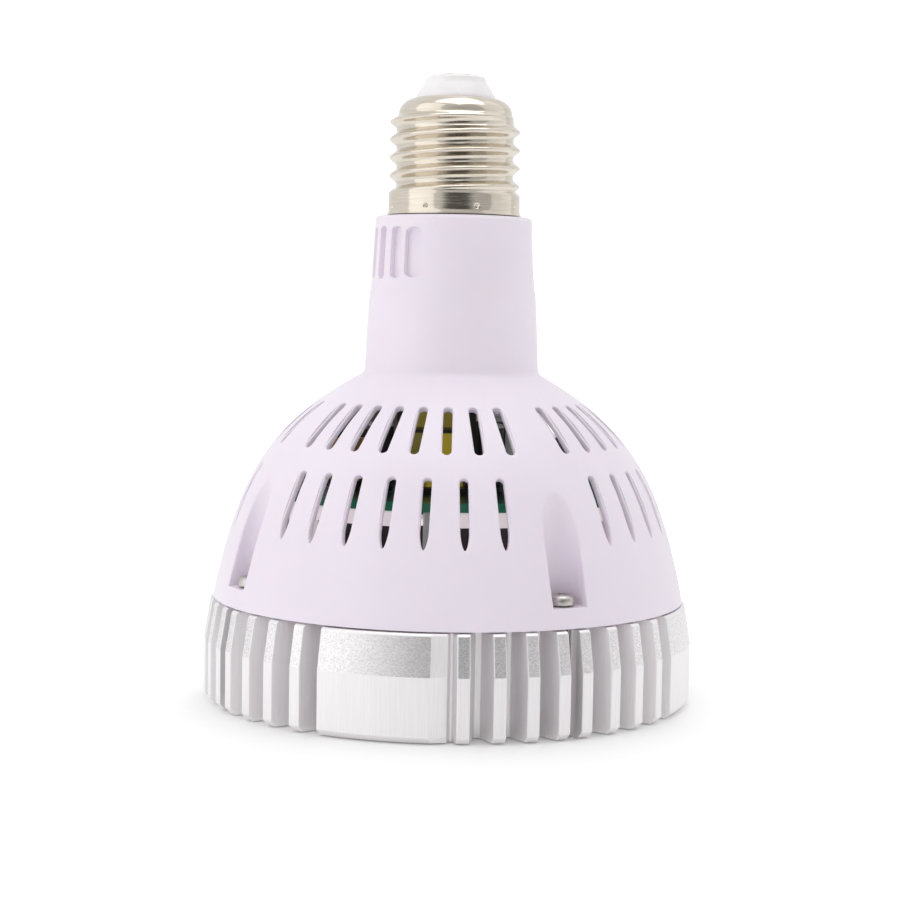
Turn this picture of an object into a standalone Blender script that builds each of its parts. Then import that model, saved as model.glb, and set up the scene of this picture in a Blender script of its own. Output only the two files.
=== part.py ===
# A fan-cooled LED grow light bulb with an E27 screw cap, standing on its front rim.
#
# Z is the lamp's axis and the origin is the centre of the rim it stands on. Azimuth 0
# points along -Y and grows towards +X. Most of the lamp repeats every quarter turn, so
# places round the axis are given from one housing screw or from the flat pad beside it.

import math

import bmesh
import bpy
from mathutils import Matrix, Vector
from mathutils.geometry import interpolate_bezier

# General fits and finish
MM = 0.001
GAP = 0.3 * MM  # clearance between pieces that touch on the real lamp
OVERRUN = 1.0 * MM  # how far a cutter reaches past what it opens
WELD = 0.002 * MM
SMOOTH_ANGLE = 35.0
QUARTERS = 4
QUARTER_TURN = 90.0
FULL_TURN = 360.0
DIAGONAL = math.sqrt(2.0)
SCREW_AZIMUTH = 29.0  # the first housing screw

# Fan: the rest of the lamp is laid out round it
FAN_SIDE = 50.0 * MM
FAN_THICKNESS = 15.0 * MM
FAN_STANDOFF = 6.5 * MM  # over the heat sink's web
FAN_CORNER = 3.0 * MM
FAN_WALL = 1.0 * MM
FAN_HOLE_INSET = 5.0 * MM
FAN_HOLE_RADIUS = 2.1 * MM
FAN_BASE_THICKNESS = 2.5 * MM
FAN_STRUT_WIDTH = 3.0 * MM
STRUT_HEIGHT_SHARE = 0.9
BEARING_WALL = 1.7 * MM
BEARING_HEIGHT = 7.0 * MM
BEARING_FLOOR = 0.8 * MM
STATOR_RADIUS = 9.5 * MM
STATOR_HEIGHT = 5.5 * MM
STATOR_WAIST_RADIUS = 5.5 * MM
POLE_SHARES = (-0.3, 0.0, 0.3)  # of a quarter turn, across one pole's face
HUB_RADIUS = 12.0 * MM
HUB_HEIGHT = 10.0 * MM
HUB_WALL = 1.0 * MM
HUB_EDGE = 0.8 * MM
HUB_LIFT = 0.8 * MM  # above the frame's base
HUB_OVERHANG = 0.5 * MM  # past the frame's base
SHAFT_RADIUS = 1.0 * MM
BLADE_COUNT = 7
BLADE_TIP_CLEARANCE = 0.6 * MM
BLADE_THICKNESS = 1.0 * MM
BLADE_ROOT_CHORD = 9.0 * MM
BLADE_TIP_CHORD = 11.5 * MM
BLADE_ROOT_PITCH = 42.0
BLADE_TIP_PITCH = 28.0
BLADE_SWEEP = 14.0
BLADE_STATIONS = 3
DUCT_SEGMENTS = 24
ROTOR_SEGMENTS = 14
FAN_DUCT_RADIUS = FAN_SIDE / 2 - FAN_WALL
FAN_HOLE_OFFSET = FAN_SIDE / 2 - FAN_HOLE_INSET
FAN_BASE_RADIUS = HUB_RADIUS - HUB_OVERHANG

# Bracket that carries the fan and the driver board on four posts
BRACKET_MARGIN = 0.045 * MM  # past the fan's corners
BRACKET_PLATE = 1.2 * MM
BRACKET_HEIGHT = 2.7 * MM
BRACKET_BAND = 1.6 * MM
POST_RADIUS = 2.8 * MM
POST_HOLE_DEPTH = 9.0 * MM
FAN_BOSS_RADIUS = 2.7 * MM
AIR_WINDOW_AZIMUTHS = (105.0, 150.0, 195.0, 240.0)
AIR_WINDOW_WIDTH = 9.0 * MM
BRACKET_SEGMENTS = 24
LEAD_NOTCH_WIDTH = 3.6 * MM
BRACKET_RADIUS = FAN_SIDE * DIAGONAL / 2 + BRACKET_MARGIN
POST_AXIS_RADIUS = BRACKET_RADIUS - POST_RADIUS

# Heat sink: one extruded length, turned outside, bored from both ends
SINK_BORE_CLEARANCE = 5.2 * MM  # round the bracket
SINK_BORE_DEPTH = 4.0 * MM
SINK_WALL = 2.4 * MM
FIN_DEPTH = 6.5 * MM
FIN_THICKNESS = 2.0 * MM
FIN_ANGLES = (3.0, 10.2, 17.9, 25.6)  # fins to each side of a screw port
PAD_FACE_ANGLE = 12.1  # half the pad's flat face
PAD_FOOT_ANGLE = 16.5  # half the pad where its flanks meet the root
PAD_STEPS = 6
TAPER_LENGTH = 7.8 * MM
TAPER_DEPTH = 1.6 * MM
RIM_CHAMFER = 1.2 * MM
RECESS_STEP = 0.4 * MM  # past the back bore
RECESS_DEPTH = 11.6 * MM
RECESS_CHAMFER = 0.6 * MM
WEB_THICKNESS = 4.4 * MM
PORT_OFFSET = 0.6 * MM  # of its axis, past the fins' roots
PORT_WALL = 1.2 * MM
PORT_SLIT = 1.0 * MM
PORT_STEPS = 8
BORE_SEGMENTS = 36
SINK_BORE_RADIUS = BRACKET_RADIUS + SINK_BORE_CLEARANCE
RECESS_RADIUS = SINK_BORE_RADIUS + RECESS_STEP
FIN_ROOT_RADIUS = SINK_BORE_RADIUS + SINK_WALL
FIN_TIP_RADIUS = FIN_ROOT_RADIUS + FIN_DEPTH
TAPER_TOP_RADIUS = FIN_TIP_RADIUS - TAPER_DEPTH
PORT_AXIS_RADIUS = FIN_ROOT_RADIUS + PORT_OFFSET
WEB_TOP = RECESS_DEPTH + WEB_THICKNESS
SINK_HEIGHT = WEB_TOP + SINK_BORE_DEPTH
TAPER_START_HEIGHT = SINK_HEIGHT - TAPER_LENGTH
FAN_FOOT = WEB_TOP + FAN_STANDOFF
FAN_TOP = FAN_FOOT + FAN_THICKNESS
BRACKET_FOOT = FAN_TOP + GAP
BRACKET_TOP = BRACKET_FOOT + BRACKET_HEIGHT

# Screws
SCREW_SHANK_RADIUS = 1.3 * MM
SCREW_HEAD_RADIUS = 2.75 * MM
SCREW_HEAD_HEIGHT = 2.0 * MM
HEAD_CROWN_SHARE = 0.55
HEAD_EDGE_SHARE = 0.5
HOUSING_SCREW_LENGTH = 10.0 * MM
BOARD_SCREW_LENGTH = 6.0 * MM
SMALL_SEGMENTS = 8
TINY_SEGMENTS = 6
SCREW_HOLE_RADIUS = SCREW_SHANK_RADIUS + GAP

# Driver board
BOARD_MARGIN = 1.1 * MM  # past the bracket
BOARD_THICKNESS = 1.6 * MM
BOARD_RADIUS = BRACKET_RADIUS + BOARD_MARGIN
BOARD_FOOT = BRACKET_TOP + GAP
BOARD_TOP = BOARD_FOOT + BOARD_THICKNESS
PART_FOOT = BOARD_TOP + GAP

# Screw shell: sheet rolled to the E27 thread
THREAD_PITCH = 3.629 * MM
THREAD_CREST_RADIUS = 13.1 * MM
THREAD_DEPTH = 1.3 * MM
FIRST_CREST = 8.4 * MM  # above the shell's foot, at azimuth 0
SHELL_SHEET = 0.4 * MM
SKIRT_STEP = 0.1 * MM  # past the thread's crests
SKIRT_FLARE = 0.3 * MM
SKIRT_HEIGHT = 4.0 * MM
PUNCH_FOOT = 0.9 * MM
PUNCH_HEIGHT = 1.8 * MM
PUNCH_INSET = 0.5 * MM
PUNCH_DEPTH = 0.4 * MM
PUNCH_EVERY = 3  # columns between punch marks
PUNCH_TURN = -32.5  # turns a punch mark to azimuth -25
SKIRT_FADE = 1.4 * MM
SHOULDER_FADE = 1.6 * MM
SHOULDER_START = 20.2 * MM  # above the shell's foot
SHOULDER_STEP = 0.2 * MM  # inside the thread's roots
SHOULDER_RISE = 3.2 * MM
SHOULDER_RUN = 2.9 * MM
SHOULDER_STEPS = 3
THREAD_COLUMNS = 24
THREAD_ROWS = 4  # to one pitch
THREAD_ROOT_RADIUS = THREAD_CREST_RADIUS - THREAD_DEPTH
SKIRT_RADIUS = THREAD_CREST_RADIUS + SKIRT_STEP
SHOULDER_RADIUS = THREAD_ROOT_RADIUS - SHOULDER_STEP
LIP_RADIUS = SHOULDER_RADIUS - SHOULDER_RUN
SPIGOT_RADIUS = SKIRT_RADIUS - SHELL_SHEET - PUNCH_DEPTH - GAP

# Housing: neck and dome moulded in one
RIM_INSET = 0.2 * MM  # inside the heat sink's top edge
HOUSING_WALL = 2.0 * MM
HOUSING_SEGMENTS = 36
HOUSING_TURN = 6.5  # keeps both rows of slots clear of the facets' edges
HEADROOM = 23.2 * MM  # from the driver board to the dome's top
DOME_STEPS = 7
NECK_STEP = 2.7 * MM  # past the shell's skirt
NECK_DRAFT = 1.75 * MM
NECK_LENGTH = 31.3 * MM
NECK_ROUND = 1.0 * MM
NECK_WALL = 2.6 * MM
SPIGOT_HEIGHT = 4.0 * MM
RIM_HANDLE_SHARES = (0.182, 0.621)  # of the dome's width and height, from the rim
NECK_HANDLE_SHARES = (0.534, 0.202)  # the same, from the neck
ROUND_SHARE = 1.0 - math.sqrt(0.5)  # of a rounding's radius, at the middle of its arc
HOUSING_FOOT = SINK_HEIGHT + GAP
HOUSING_RIM_RADIUS = TAPER_TOP_RADIUS - RIM_INSET
DOME_TOP = BOARD_TOP + HEADROOM
DOME_HEIGHT = DOME_TOP - HOUSING_FOOT
NECK_TOP_RADIUS = SKIRT_RADIUS + NECK_STEP
NECK_FOOT_RADIUS = NECK_TOP_RADIUS + NECK_DRAFT
NECK_TOP = DOME_TOP + NECK_LENGTH
SHELL_FOOT = NECK_TOP + GAP
LIP_HEIGHT = SHELL_FOOT + SHOULDER_START + SHOULDER_RISE

# Housing screw recesses
CHANNEL_RADIUS = 3.85 * MM
LEDGE_THICKNESS = 3.7 * MM
CHANNEL_REACH = 31.0 * MM  # height above the ledge, past where the dome runs out of it
CHANNEL_STEPS = 7  # round the half of it that faces the axis
BOSS_SEGMENTS = 14

# Slots in the dome, measured along Z
UPPER_SLOT_ANGLES = (-40.0, -30.0, -20.0, -10.0, 10.0, 20.0, 30.0, 40.0)  # from a screw
UPPER_SLOT_DROP = 14.0 * MM  # of its foot, from the dome's top
UPPER_SLOT_LENGTH = 8.4 * MM
UPPER_SLOT_WIDTH = 1.8 * MM
LOWER_SLOT_ANGLES = (-30.0, -20.0, -10.0, 0.0, 10.0, 20.0, 30.0)  # from a pad
SLOT_ROW_SPACE = 4.0 * MM
LOWER_SLOT_LENGTH = 12.9 * MM
LOWER_SLOT_WIDTH = 1.7 * MM
LOWER_SLOT_TIP = 3.2 * MM
TIP_MIDDLE_SHARES = (0.62, 0.55)  # of half the width and of the tip's length
SLOT_END_STEPS = 3
UPPER_SLOT_FOOT = DOME_TOP - UPPER_SLOT_DROP
UPPER_SLOT_TOP = UPPER_SLOT_FOOT + UPPER_SLOT_LENGTH
LOWER_SLOT_TOP = UPPER_SLOT_FOOT - SLOT_ROW_SPACE
LOWER_SLOT_FOOT = LOWER_SLOT_TOP - LOWER_SLOT_LENGTH

# Grip grooves in the neck, on two opposite sides
GROOVE_COUNT = 5
GROOVE_SPACING = 16.3
GROOVE_WIDTH = 2.6 * MM
GROOVE_DEPTH = 1.5 * MM
GROOVE_DROP = 2.3 * MM  # below the neck's top
GROOVE_LENGTH = 10.0 * MM
GROOVE_CORNER = 0.6 * MM
GRIP_SIDES = (-QUARTER_TURN, QUARTER_TURN)  # from the first housing screw
GROOVE_TOP = NECK_TOP - GROOVE_DROP
GROOVE_FOOT = GROOVE_TOP - GROOVE_LENGTH

# Cap insulator and centre contact
INSULATOR_FLANGE = 1.0 * MM
INSULATOR_RISE = 4.4 * MM  # above the shell's lip
INSULATOR_STRAIGHT = 0.3 * MM
INSULATOR_RIM = 1.05 * MM  # round the contact
INSULATOR_EDGE = 0.7 * MM
INSULATOR_EDGE_SHARE = 0.85
CONTACT_RADIUS = 3.85 * MM
CONTACT_HEIGHT = 1.0 * MM
CONTACT_EDGE = 0.35 * MM
CONTACT_SHANK_RADIUS = 1.3 * MM
CONTACT_SHANK_LENGTH = 10.5 * MM
CAP_SEGMENTS = 18
INSULATOR_TOP_RADIUS = CONTACT_RADIUS + INSULATOR_RIM

# Light board, light packages and lens plate, in the recess
LENS_SETBACK = 1.0 * MM
LENS_THICKNESS = 2.0 * MM
LENS_CUP_SPACE = 1.45 * MM  # between the innermost cups
LENS_CUP_DRAFT = 3.4 * MM
LENS_COLUMN_RADIUS = 3.4 * MM
LENS_HEAD_SINK = 2.2 * MM
LIGHT_BOARD_THICKNESS = 1.6 * MM
LIGHT_RADIUS = 1.7 * MM
LIGHT_BASE = 0.7 * MM
LIGHT_DOME = 0.8 * MM
DOME_CROWN_SHARE = 0.55
OUTER_LIGHT_INSET = 5.1 * MM  # inside the lens screws
INNER_LIGHT_SHARE = 0.418  # of the outer lights' circle
OUTER_LIGHTS = 8
INNER_LIGHTS = 4
CUP_SEGMENTS = 10
OUTER_LIGHT_RADIUS = POST_AXIS_RADIUS - OUTER_LIGHT_INSET
INNER_LIGHT_RADIUS = OUTER_LIGHT_RADIUS * INNER_LIGHT_SHARE
LENS_CUP_RADIUS = (INNER_LIGHT_RADIUS * DIAGONAL - LENS_CUP_SPACE) / 2
LENS_CUP_TOP_RADIUS = LENS_CUP_RADIUS - LENS_CUP_DRAFT
LIGHT_BOARD_FOOT = RECESS_DEPTH - GAP - LIGHT_BOARD_THICKNESS

# What stands on the driver board, from the transformer outward
TRANSFORMER_X = -2.7 * MM
TRANSFORMER_Y = -10.5 * MM
BOBBIN_WIDTH = 15.4 * MM
BOBBIN_DEPTH = 16.0 * MM
BOBBIN_BASE = 0.9 * MM
WINDING_SPACE = 0.5 * MM  # to the core's legs
WINDING_HEIGHT = 11.2 * MM
WINDING_CORNER = 2.5 * MM
CORE_LEG = 1.9 * MM
CORE_DEPTH = 11.0 * MM
CORE_YOKE = 4.0 * MM
CAPACITOR_EDGE = 0.4 * MM
CAPACITOR_CRIMP_HEIGHT = 1.6 * MM
INPUT_CAPACITOR_RADIUS = 2.5 * MM
INPUT_CAPACITOR_HEIGHT = 13.5 * MM
LEFT_CAPACITOR_SPACE = 0.7 * MM  # beside the transformer
LEFT_CAPACITOR_SETBACK = 1.4 * MM  # behind the transformer's front
RIGHT_CAPACITOR_SPACE = 0.5 * MM
RIGHT_CAPACITOR_SETBACK = 1.0 * MM
OUTPUT_CAPACITOR_X = 9.0 * MM
OUTPUT_CAPACITOR_Y = 9.0 * MM
OUTPUT_CAPACITOR_RADIUS = 5.0 * MM
OUTPUT_CAPACITOR_HEIGHT = 14.0 * MM
FILM_SPACE = 0.65 * MM  # beside the right input capacitor
FILM_Y = -8.0 * MM
FILM_WIDTH = 5.5 * MM
FILM_DEPTH = 12.0 * MM
FILM_HEIGHT = 11.0 * MM
CHOKE_SPACE = 0.5 * MM  # beside the left input capacitor
CHOKE_Y = -7.4 * MM
CHOKE_RADIUS = 4.0 * MM
CHOKE_WAIST_RADIUS = 2.2 * MM
CHOKE_HEIGHT = 11.5 * MM
CHOKE_FLANGE = 1.4 * MM
BRIDGE_X = -8.0 * MM
BRIDGE_Y = 10.0 * MM
BRIDGE_WIDTH = 8.0 * MM
BRIDGE_DEPTH = 6.4 * MM
BRIDGE_HEIGHT = 3.0 * MM
FUSE_X = -20.0 * MM
FUSE_Y = 5.0 * MM
FUSE_RADIUS = 1.8 * MM
FUSE_LENGTH = 9.0 * MM
FUSE_CAP_LENGTH = 1.6 * MM
FUSE_CAP_STEP = 0.3 * MM
BOX_CORNER = 0.8 * MM
CORNER_STEPS = 2
WINDING_WIDTH = BOBBIN_WIDTH - 2 * (CORE_LEG + WINDING_SPACE)
TRANSFORMER_FRONT_Y = TRANSFORMER_Y - BOBBIN_DEPTH / 2
LEFT_CAPACITOR_Y = TRANSFORMER_FRONT_Y + LEFT_CAPACITOR_SETBACK + INPUT_CAPACITOR_RADIUS
RIGHT_CAPACITOR_Y = TRANSFORMER_FRONT_Y + RIGHT_CAPACITOR_SETBACK + INPUT_CAPACITOR_RADIUS
LEFT_CAPACITOR_X = TRANSFORMER_X - BOBBIN_WIDTH / 2 - LEFT_CAPACITOR_SPACE - INPUT_CAPACITOR_RADIUS
RIGHT_CAPACITOR_X = TRANSFORMER_X + BOBBIN_WIDTH / 2 + RIGHT_CAPACITOR_SPACE + INPUT_CAPACITOR_RADIUS
FILM_X = RIGHT_CAPACITOR_X + INPUT_CAPACITOR_RADIUS + FILM_SPACE + FILM_WIDTH / 2
CHOKE_X = LEFT_CAPACITOR_X - INPUT_CAPACITOR_RADIUS - CHOKE_SPACE - CHOKE_RADIUS

# Leads; a lead's points are places in millimetres
LEAD_RADIUS = 0.8 * MM
LEAD_SPACING = 4.8 * MM
SLEEVE_RADIUS = 1.25 * MM
SLEEVE_SPACING = 6.0 * MM
SLEEVE_AZIMUTH = -6.0
SLEEVE_INSET = 1.2 * MM  # inside the bracket's edge
FAN_LEAD_AZIMUTH = 84.0
LEAD_BEVEL_STEPS = 2
HANDLE_SHARE = 1.0 / 3.0  # of the way between two points of a route
SLEEVE_AXIS_RADIUS = BRACKET_RADIUS - SLEEVE_INSET
CONTACT_LEAD_ROUTE = (
    (0.2, 0.3, 113.4),
    (1.2, 1.5, 108.0),
    (3.4, 3.0, 96.0),
    (2.2, 4.2, 84.0),
    (-1.0, 5.5, 72.0),
    (-2.0, 9.0, 60.0),
    (0.6, 15.0, 51.0),
    (1.0, 17.6, 46.5),
    (1.0, 18.0, 43.0),
)
SHELL_LEAD_ROUTE = (
    (-10.6, 2.0, 102.6),
    (-8.6, 1.8, 103.6),
    (-6.6, 1.2, 100.5),
    (-6.0, 0.6, 92.0),
    (-7.4, 1.4, 80.0),
    (-9.0, 3.2, 68.0),
    (-12.6, 8.0, 57.0),
    (-15.0, 13.2, 49.0),
    (-15.4, 14.0, 43.0),
)

CAP_METAL = ((0.83, 0.79, 0.73), 0.18, 1.0)
CERAMIC = ((0.93, 0.92, 0.93), 0.3, 0.0)
WHITE_MOULDING = ((0.86, 0.82, 0.88), 0.42, 0.0)
ALUMINIUM = ((0.84, 0.84, 0.86), 0.35, 1.0)
SCREW_STEEL = ((0.62, 0.6, 0.57), 0.3, 1.0)
CLEAR_LENS = ((0.85, 0.88, 0.9), 0.08, 0.0)
LIGHT_BOARD_WHITE = ((0.9, 0.9, 0.88), 0.45, 0.0)
LIGHT_YELLOW = ((0.95, 0.8, 0.25), 0.3, 0.0)
BOARD_GREEN = ((0.02, 0.22, 0.12), 0.4, 0.0)
TAPE_YELLOW = ((0.9, 0.75, 0.12), 0.35, 0.0)
FERRITE = ((0.16, 0.15, 0.12), 0.55, 0.0)
BLACK_PLASTIC = ((0.02, 0.02, 0.022), 0.45, 0.0)
CAPACITOR_SLEEVE = ((0.03, 0.03, 0.035), 0.35, 0.0)
FILM_GREY = ((0.6, 0.6, 0.58), 0.4, 0.0)
COPPER = ((0.72, 0.38, 0.2), 0.3, 1.0)
BRACKET_WHITE = ((0.85, 0.8, 0.82), 0.45, 0.0)
FUSE_BROWN = ((0.45, 0.3, 0.2), 0.4, 0.0)
RED_SILICONE = ((0.6, 0.03, 0.03), 0.5, 0.0)
BLUE_SILICONE = ((0.05, 0.1, 0.4), 0.5, 0.0)
SLEEVE_GREY = ((0.45, 0.44, 0.43), 0.5, 0.0)


def clear_scene():
    for found in list(bpy.data.objects):
        bpy.data.objects.remove(found, do_unlink=True)


def polar(radius, azimuth, height=0.0):
    angle = math.radians(azimuth)
    return Vector((radius * math.sin(angle), -radius * math.cos(angle), height))


def quarter_azimuths(start):
    return [start + QUARTER_TURN * quarter for quarter in range(QUARTERS)]


def material(name, finish):
    """A Principled material from a (colour, roughness, metallic) finish."""
    colour, roughness, metallic = finish
    made = bpy.data.materials.new(name)
    made.use_nodes = True
    shader = made.node_tree.nodes["Principled BSDF"]
    shader.inputs["Base Color"].default_value = (*colour, 1.0)
    shader.inputs["Roughness"].default_value = roughness
    shader.inputs["Metallic"].default_value = metallic
    made.diffuse_color = (*colour, 1.0)
    return made


def place(name, data, place_at=(0.0, 0.0, 0.0)):
    made = bpy.data.objects.new(name, data)
    bpy.context.collection.objects.link(made)
    made.location = place_at
    return made


def mesh_from(name, shape):
    """Closes a bmesh's seams, turns its faces outward and makes it a smooth-shaded mesh."""
    bmesh.ops.remove_doubles(shape, verts=shape.verts, dist=WELD)
    bmesh.ops.recalc_face_normals(shape, faces=shape.faces)
    mesh = bpy.data.meshes.new(name)
    shape.to_mesh(mesh)
    shape.free()
    mesh.shade_smooth()
    mesh.set_sharp_from_angle(angle=math.radians(SMOOTH_ANGLE))
    return mesh


def finish(made, look):
    made.data.materials.append(material(made.name, look))
    return made


def helper(name, shape):
    """A shape used only to cut or extend another: drawn as wire and never rendered."""
    made = place(name, mesh_from(name, shape))
    made.hide_render = True
    made.display_type = "WIRE"
    return made


def combine(target, tool, operation):
    modifier = target.modifiers.new(tool.name, "BOOLEAN")
    modifier.operation = operation
    modifier.object = tool
    return target


def add_turned(shape, outline, segments, centre=(0.0, 0.0, 0.0)):
    """Spins an (r, z) outline about Z; ends that lie on the axis stay open in the outline."""
    points = [shape.verts.new((radius, 0.0, height)) for radius, height in outline]
    edges = [shape.edges.new(pair) for pair in zip(points, points[1:])]
    if outline[0][0] > 0.0 or outline[-1][0] > 0.0:
        edges.append(shape.edges.new((points[-1], points[0])))
    made = bmesh.ops.spin(
        shape,
        geom=points + edges,
        cent=(0.0, 0.0, 0.0),
        axis=(0.0, 0.0, 1.0),
        angle=math.radians(FULL_TURN),
        steps=segments,
        use_merge=True,
    )
    turned_points = {point for point in shape.verts if not point.tag}
    bmesh.ops.translate(shape, verts=list(turned_points), vec=centre)
    for point in shape.verts:
        point.tag = True
    return made


def turned(name, outline, segments, place_at=(0.0, 0.0, 0.0), first_edge=0.0):
    """A turned piece; first_edge turns its facets about the axis."""
    shape = bmesh.new()
    add_turned(shape, outline, segments)
    turn = Matrix.Rotation(math.radians(first_edge), 3, "Z")
    bmesh.ops.rotate(shape, verts=shape.verts, matrix=turn)
    return place(name, mesh_from(name, shape), place_at)


def add_prism(shape, outline, frame, low, high):
    """Extrudes an outline of (x, y) points from low to high along the frame's Z."""
    foot = [shape.verts.new(frame @ Vector((x, y, low))) for x, y in outline]
    face = shape.faces.new(foot)
    made = bmesh.ops.extrude_face_region(shape, geom=[face])
    lifted = [item for item in made["geom"] if isinstance(item, bmesh.types.BMVert)]
    rise = frame.to_3x3() @ Vector((0.0, 0.0, high - low))
    bmesh.ops.translate(shape, verts=lifted, vec=rise)
    for point in foot + lifted:
        point.tag = True


def circle(radius, segments, centre=(0.0, 0.0)):
    angles = [math.radians(FULL_TURN * step / segments) for step in range(segments)]
    return [(centre[0] + radius * math.cos(a), centre[1] + radius * math.sin(a)) for a in angles]


def rounded_rectangle(width, depth, corner, steps=CORNER_STEPS):
    points = []
    for index, (side_x, side_y) in enumerate(((1, 1), (-1, 1), (-1, -1), (1, -1))):
        centre_x = side_x * (width / 2 - corner)
        centre_y = side_y * (depth / 2 - corner)
        for step in range(steps + 1):
            angle = math.radians(QUARTER_TURN * (index + step / steps))
            points.append((centre_x + corner * math.cos(angle), centre_y + corner * math.sin(angle)))
    return points


def add_cylinder(shape, radius, foot, top, centre, segments):
    frame = Matrix.Translation((centre[0], centre[1], 0.0))
    add_prism(shape, circle(radius, segments), frame, foot, top)


def prism(name, outline, low, high, place_at=(0.0, 0.0, 0.0)):
    shape = bmesh.new()
    add_prism(shape, outline, Matrix(), low, high)
    return place(name, mesh_from(name, shape), place_at)


# Heat sink


def flank_point(azimuth, radius, side):
    """A point on the side of a parallel-sided fin, at this distance from the axis."""
    half = FIN_THICKNESS / 2
    along = math.sqrt(radius**2 - half**2)
    angle = math.radians(azimuth)
    across = Vector((math.cos(angle), math.sin(angle), 0.0))
    return polar(along, azimuth) + across * half * side


def port_junction():
    """How far up a flanking fin's inner side the round wall of the screw port meets it."""
    half = FIN_THICKNESS / 2
    wall = SCREW_HOLE_RADIUS + PORT_WALL
    lean = math.radians(FIN_ANGLES[0])
    across = PORT_AXIS_RADIUS * math.cos(lean)
    rest = half**2 - 2 * PORT_AXIS_RADIUS * half * math.sin(lean) + PORT_AXIS_RADIUS**2 - wall**2
    along = across + math.sqrt(across**2 - rest)
    return math.sqrt(along**2 + half**2)


def port_points(azimuth):
    """The C-shaped screw port between two fins, open outward through a slit."""
    slit = PORT_SLIT / 2
    wall = SCREW_HOLE_RADIUS + PORT_WALL
    lean = math.degrees(math.asin(slit / SCREW_HOLE_RADIUS))
    local = [(-slit, math.sqrt(wall**2 - slit**2))]
    for step in range(PORT_STEPS + 1):
        turn = QUARTER_TURN + lean + (FULL_TURN - 2 * lean) * step / PORT_STEPS
        angle = math.radians(turn)
        local.append((SCREW_HOLE_RADIUS * math.cos(angle), SCREW_HOLE_RADIUS * math.sin(angle)))
    local.append((slit, math.sqrt(wall**2 - slit**2)))
    angle = math.radians(azimuth)
    across = Vector((math.cos(angle), math.sin(angle), 0.0))
    outward = polar(1.0, azimuth)
    centre = polar(PORT_AXIS_RADIUS, azimuth)
    return [centre + across * u + outward * v for u, v in local]


def sink_outline(tip_radius):
    """The extrusion's closed outline when its fins and pads are turned to this radius."""
    points = []
    junction = port_junction()
    for port in quarter_azimuths(SCREW_AZIMUTH):
        pad = port - QUARTER_TURN / 2
        points.append(polar(FIN_ROOT_RADIUS, pad - PAD_FOOT_ANGLE))
        for step in range(PAD_STEPS + 1):
            points.append(polar(tip_radius, pad - PAD_FACE_ANGLE + 2 * PAD_FACE_ANGLE * step / PAD_STEPS))
        points.append(polar(FIN_ROOT_RADIUS, pad + PAD_FOOT_ANGLE))
        for angle in reversed(FIN_ANGLES):
            inner = FIN_ROOT_RADIUS if angle != FIN_ANGLES[0] else junction
            points.append(flank_point(port - angle, FIN_ROOT_RADIUS, -1))
            points.append(flank_point(port - angle, tip_radius, -1))
            points.append(flank_point(port - angle, tip_radius, 1))
            points.append(flank_point(port - angle, inner, 1))
        points += port_points(port)
        for angle in FIN_ANGLES:
            inner = FIN_ROOT_RADIUS if angle != FIN_ANGLES[0] else junction
            points.append(flank_point(port + angle, inner, -1))
            points.append(flank_point(port + angle, tip_radius, -1))
            points.append(flank_point(port + angle, tip_radius, 1))
            points.append(flank_point(port + angle, FIN_ROOT_RADIUS, 1))
    return points


def add_skinned(shape, rings):
    """Skins a stack of closed rings that have equal numbers of points, and caps its ends."""
    loops = [[shape.verts.new(point) for point in ring] for ring in rings]
    count = len(loops[0])
    for lower, upper in zip(loops, loops[1:]):
        for index in range(count):
            following = (index + 1) % count
            shape.faces.new((lower[index], lower[following], upper[following], upper[index]))
    shape.faces.new(loops[0])
    shape.faces.new(loops[-1])


def build_heatsink():
    levels = (
        (0.0, FIN_TIP_RADIUS - RIM_CHAMFER),
        (RIM_CHAMFER, FIN_TIP_RADIUS),
        (TAPER_START_HEIGHT, FIN_TIP_RADIUS),
        (SINK_HEIGHT, TAPER_TOP_RADIUS),
    )
    shape = bmesh.new()
    rise = Vector((0.0, 0.0, 1.0))
    add_skinned(shape, [[p + rise * height for p in sink_outline(tip)] for height, tip in levels])
    sink = place("heatsink", mesh_from("heatsink", shape))

    recess = bmesh.new()
    mouth = RECESS_RADIUS + RECESS_CHAMFER + OVERRUN
    add_turned(
        recess,
        (
            (0.0, RECESS_DEPTH),
            (RECESS_RADIUS, RECESS_DEPTH),
            (RECESS_RADIUS, RECESS_CHAMFER),
            (mouth, -OVERRUN),
            (0.0, -OVERRUN),
        ),
        BORE_SEGMENTS,
    )
    combine(sink, helper("heatsink_front_recess", recess), "DIFFERENCE")

    bore = bmesh.new()
    add_cylinder(bore, SINK_BORE_RADIUS, WEB_TOP, SINK_HEIGHT + OVERRUN, (0.0, 0.0), BORE_SEGMENTS)
    combine(sink, helper("heatsink_back_bore", bore), "DIFFERENCE")

    holes = bmesh.new()
    for azimuth in quarter_azimuths(SCREW_AZIMUTH):
        centre = polar(POST_AXIS_RADIUS, azimuth)
        foot = RECESS_DEPTH - OVERRUN
        add_cylinder(holes, SCREW_HOLE_RADIUS, foot, WEB_TOP + OVERRUN, centre, SMALL_SEGMENTS)
    centre = polar(SLEEVE_AXIS_RADIUS, SLEEVE_AZIMUTH)
    foot = RECESS_DEPTH - OVERRUN
    add_cylinder(holes, SLEEVE_RADIUS + GAP, foot, WEB_TOP + OVERRUN, centre, SMALL_SEGMENTS)
    combine(sink, helper("heatsink_web_holes", holes), "DIFFERENCE")
    return finish(sink, ALUMINIUM)


# Housing


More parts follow.
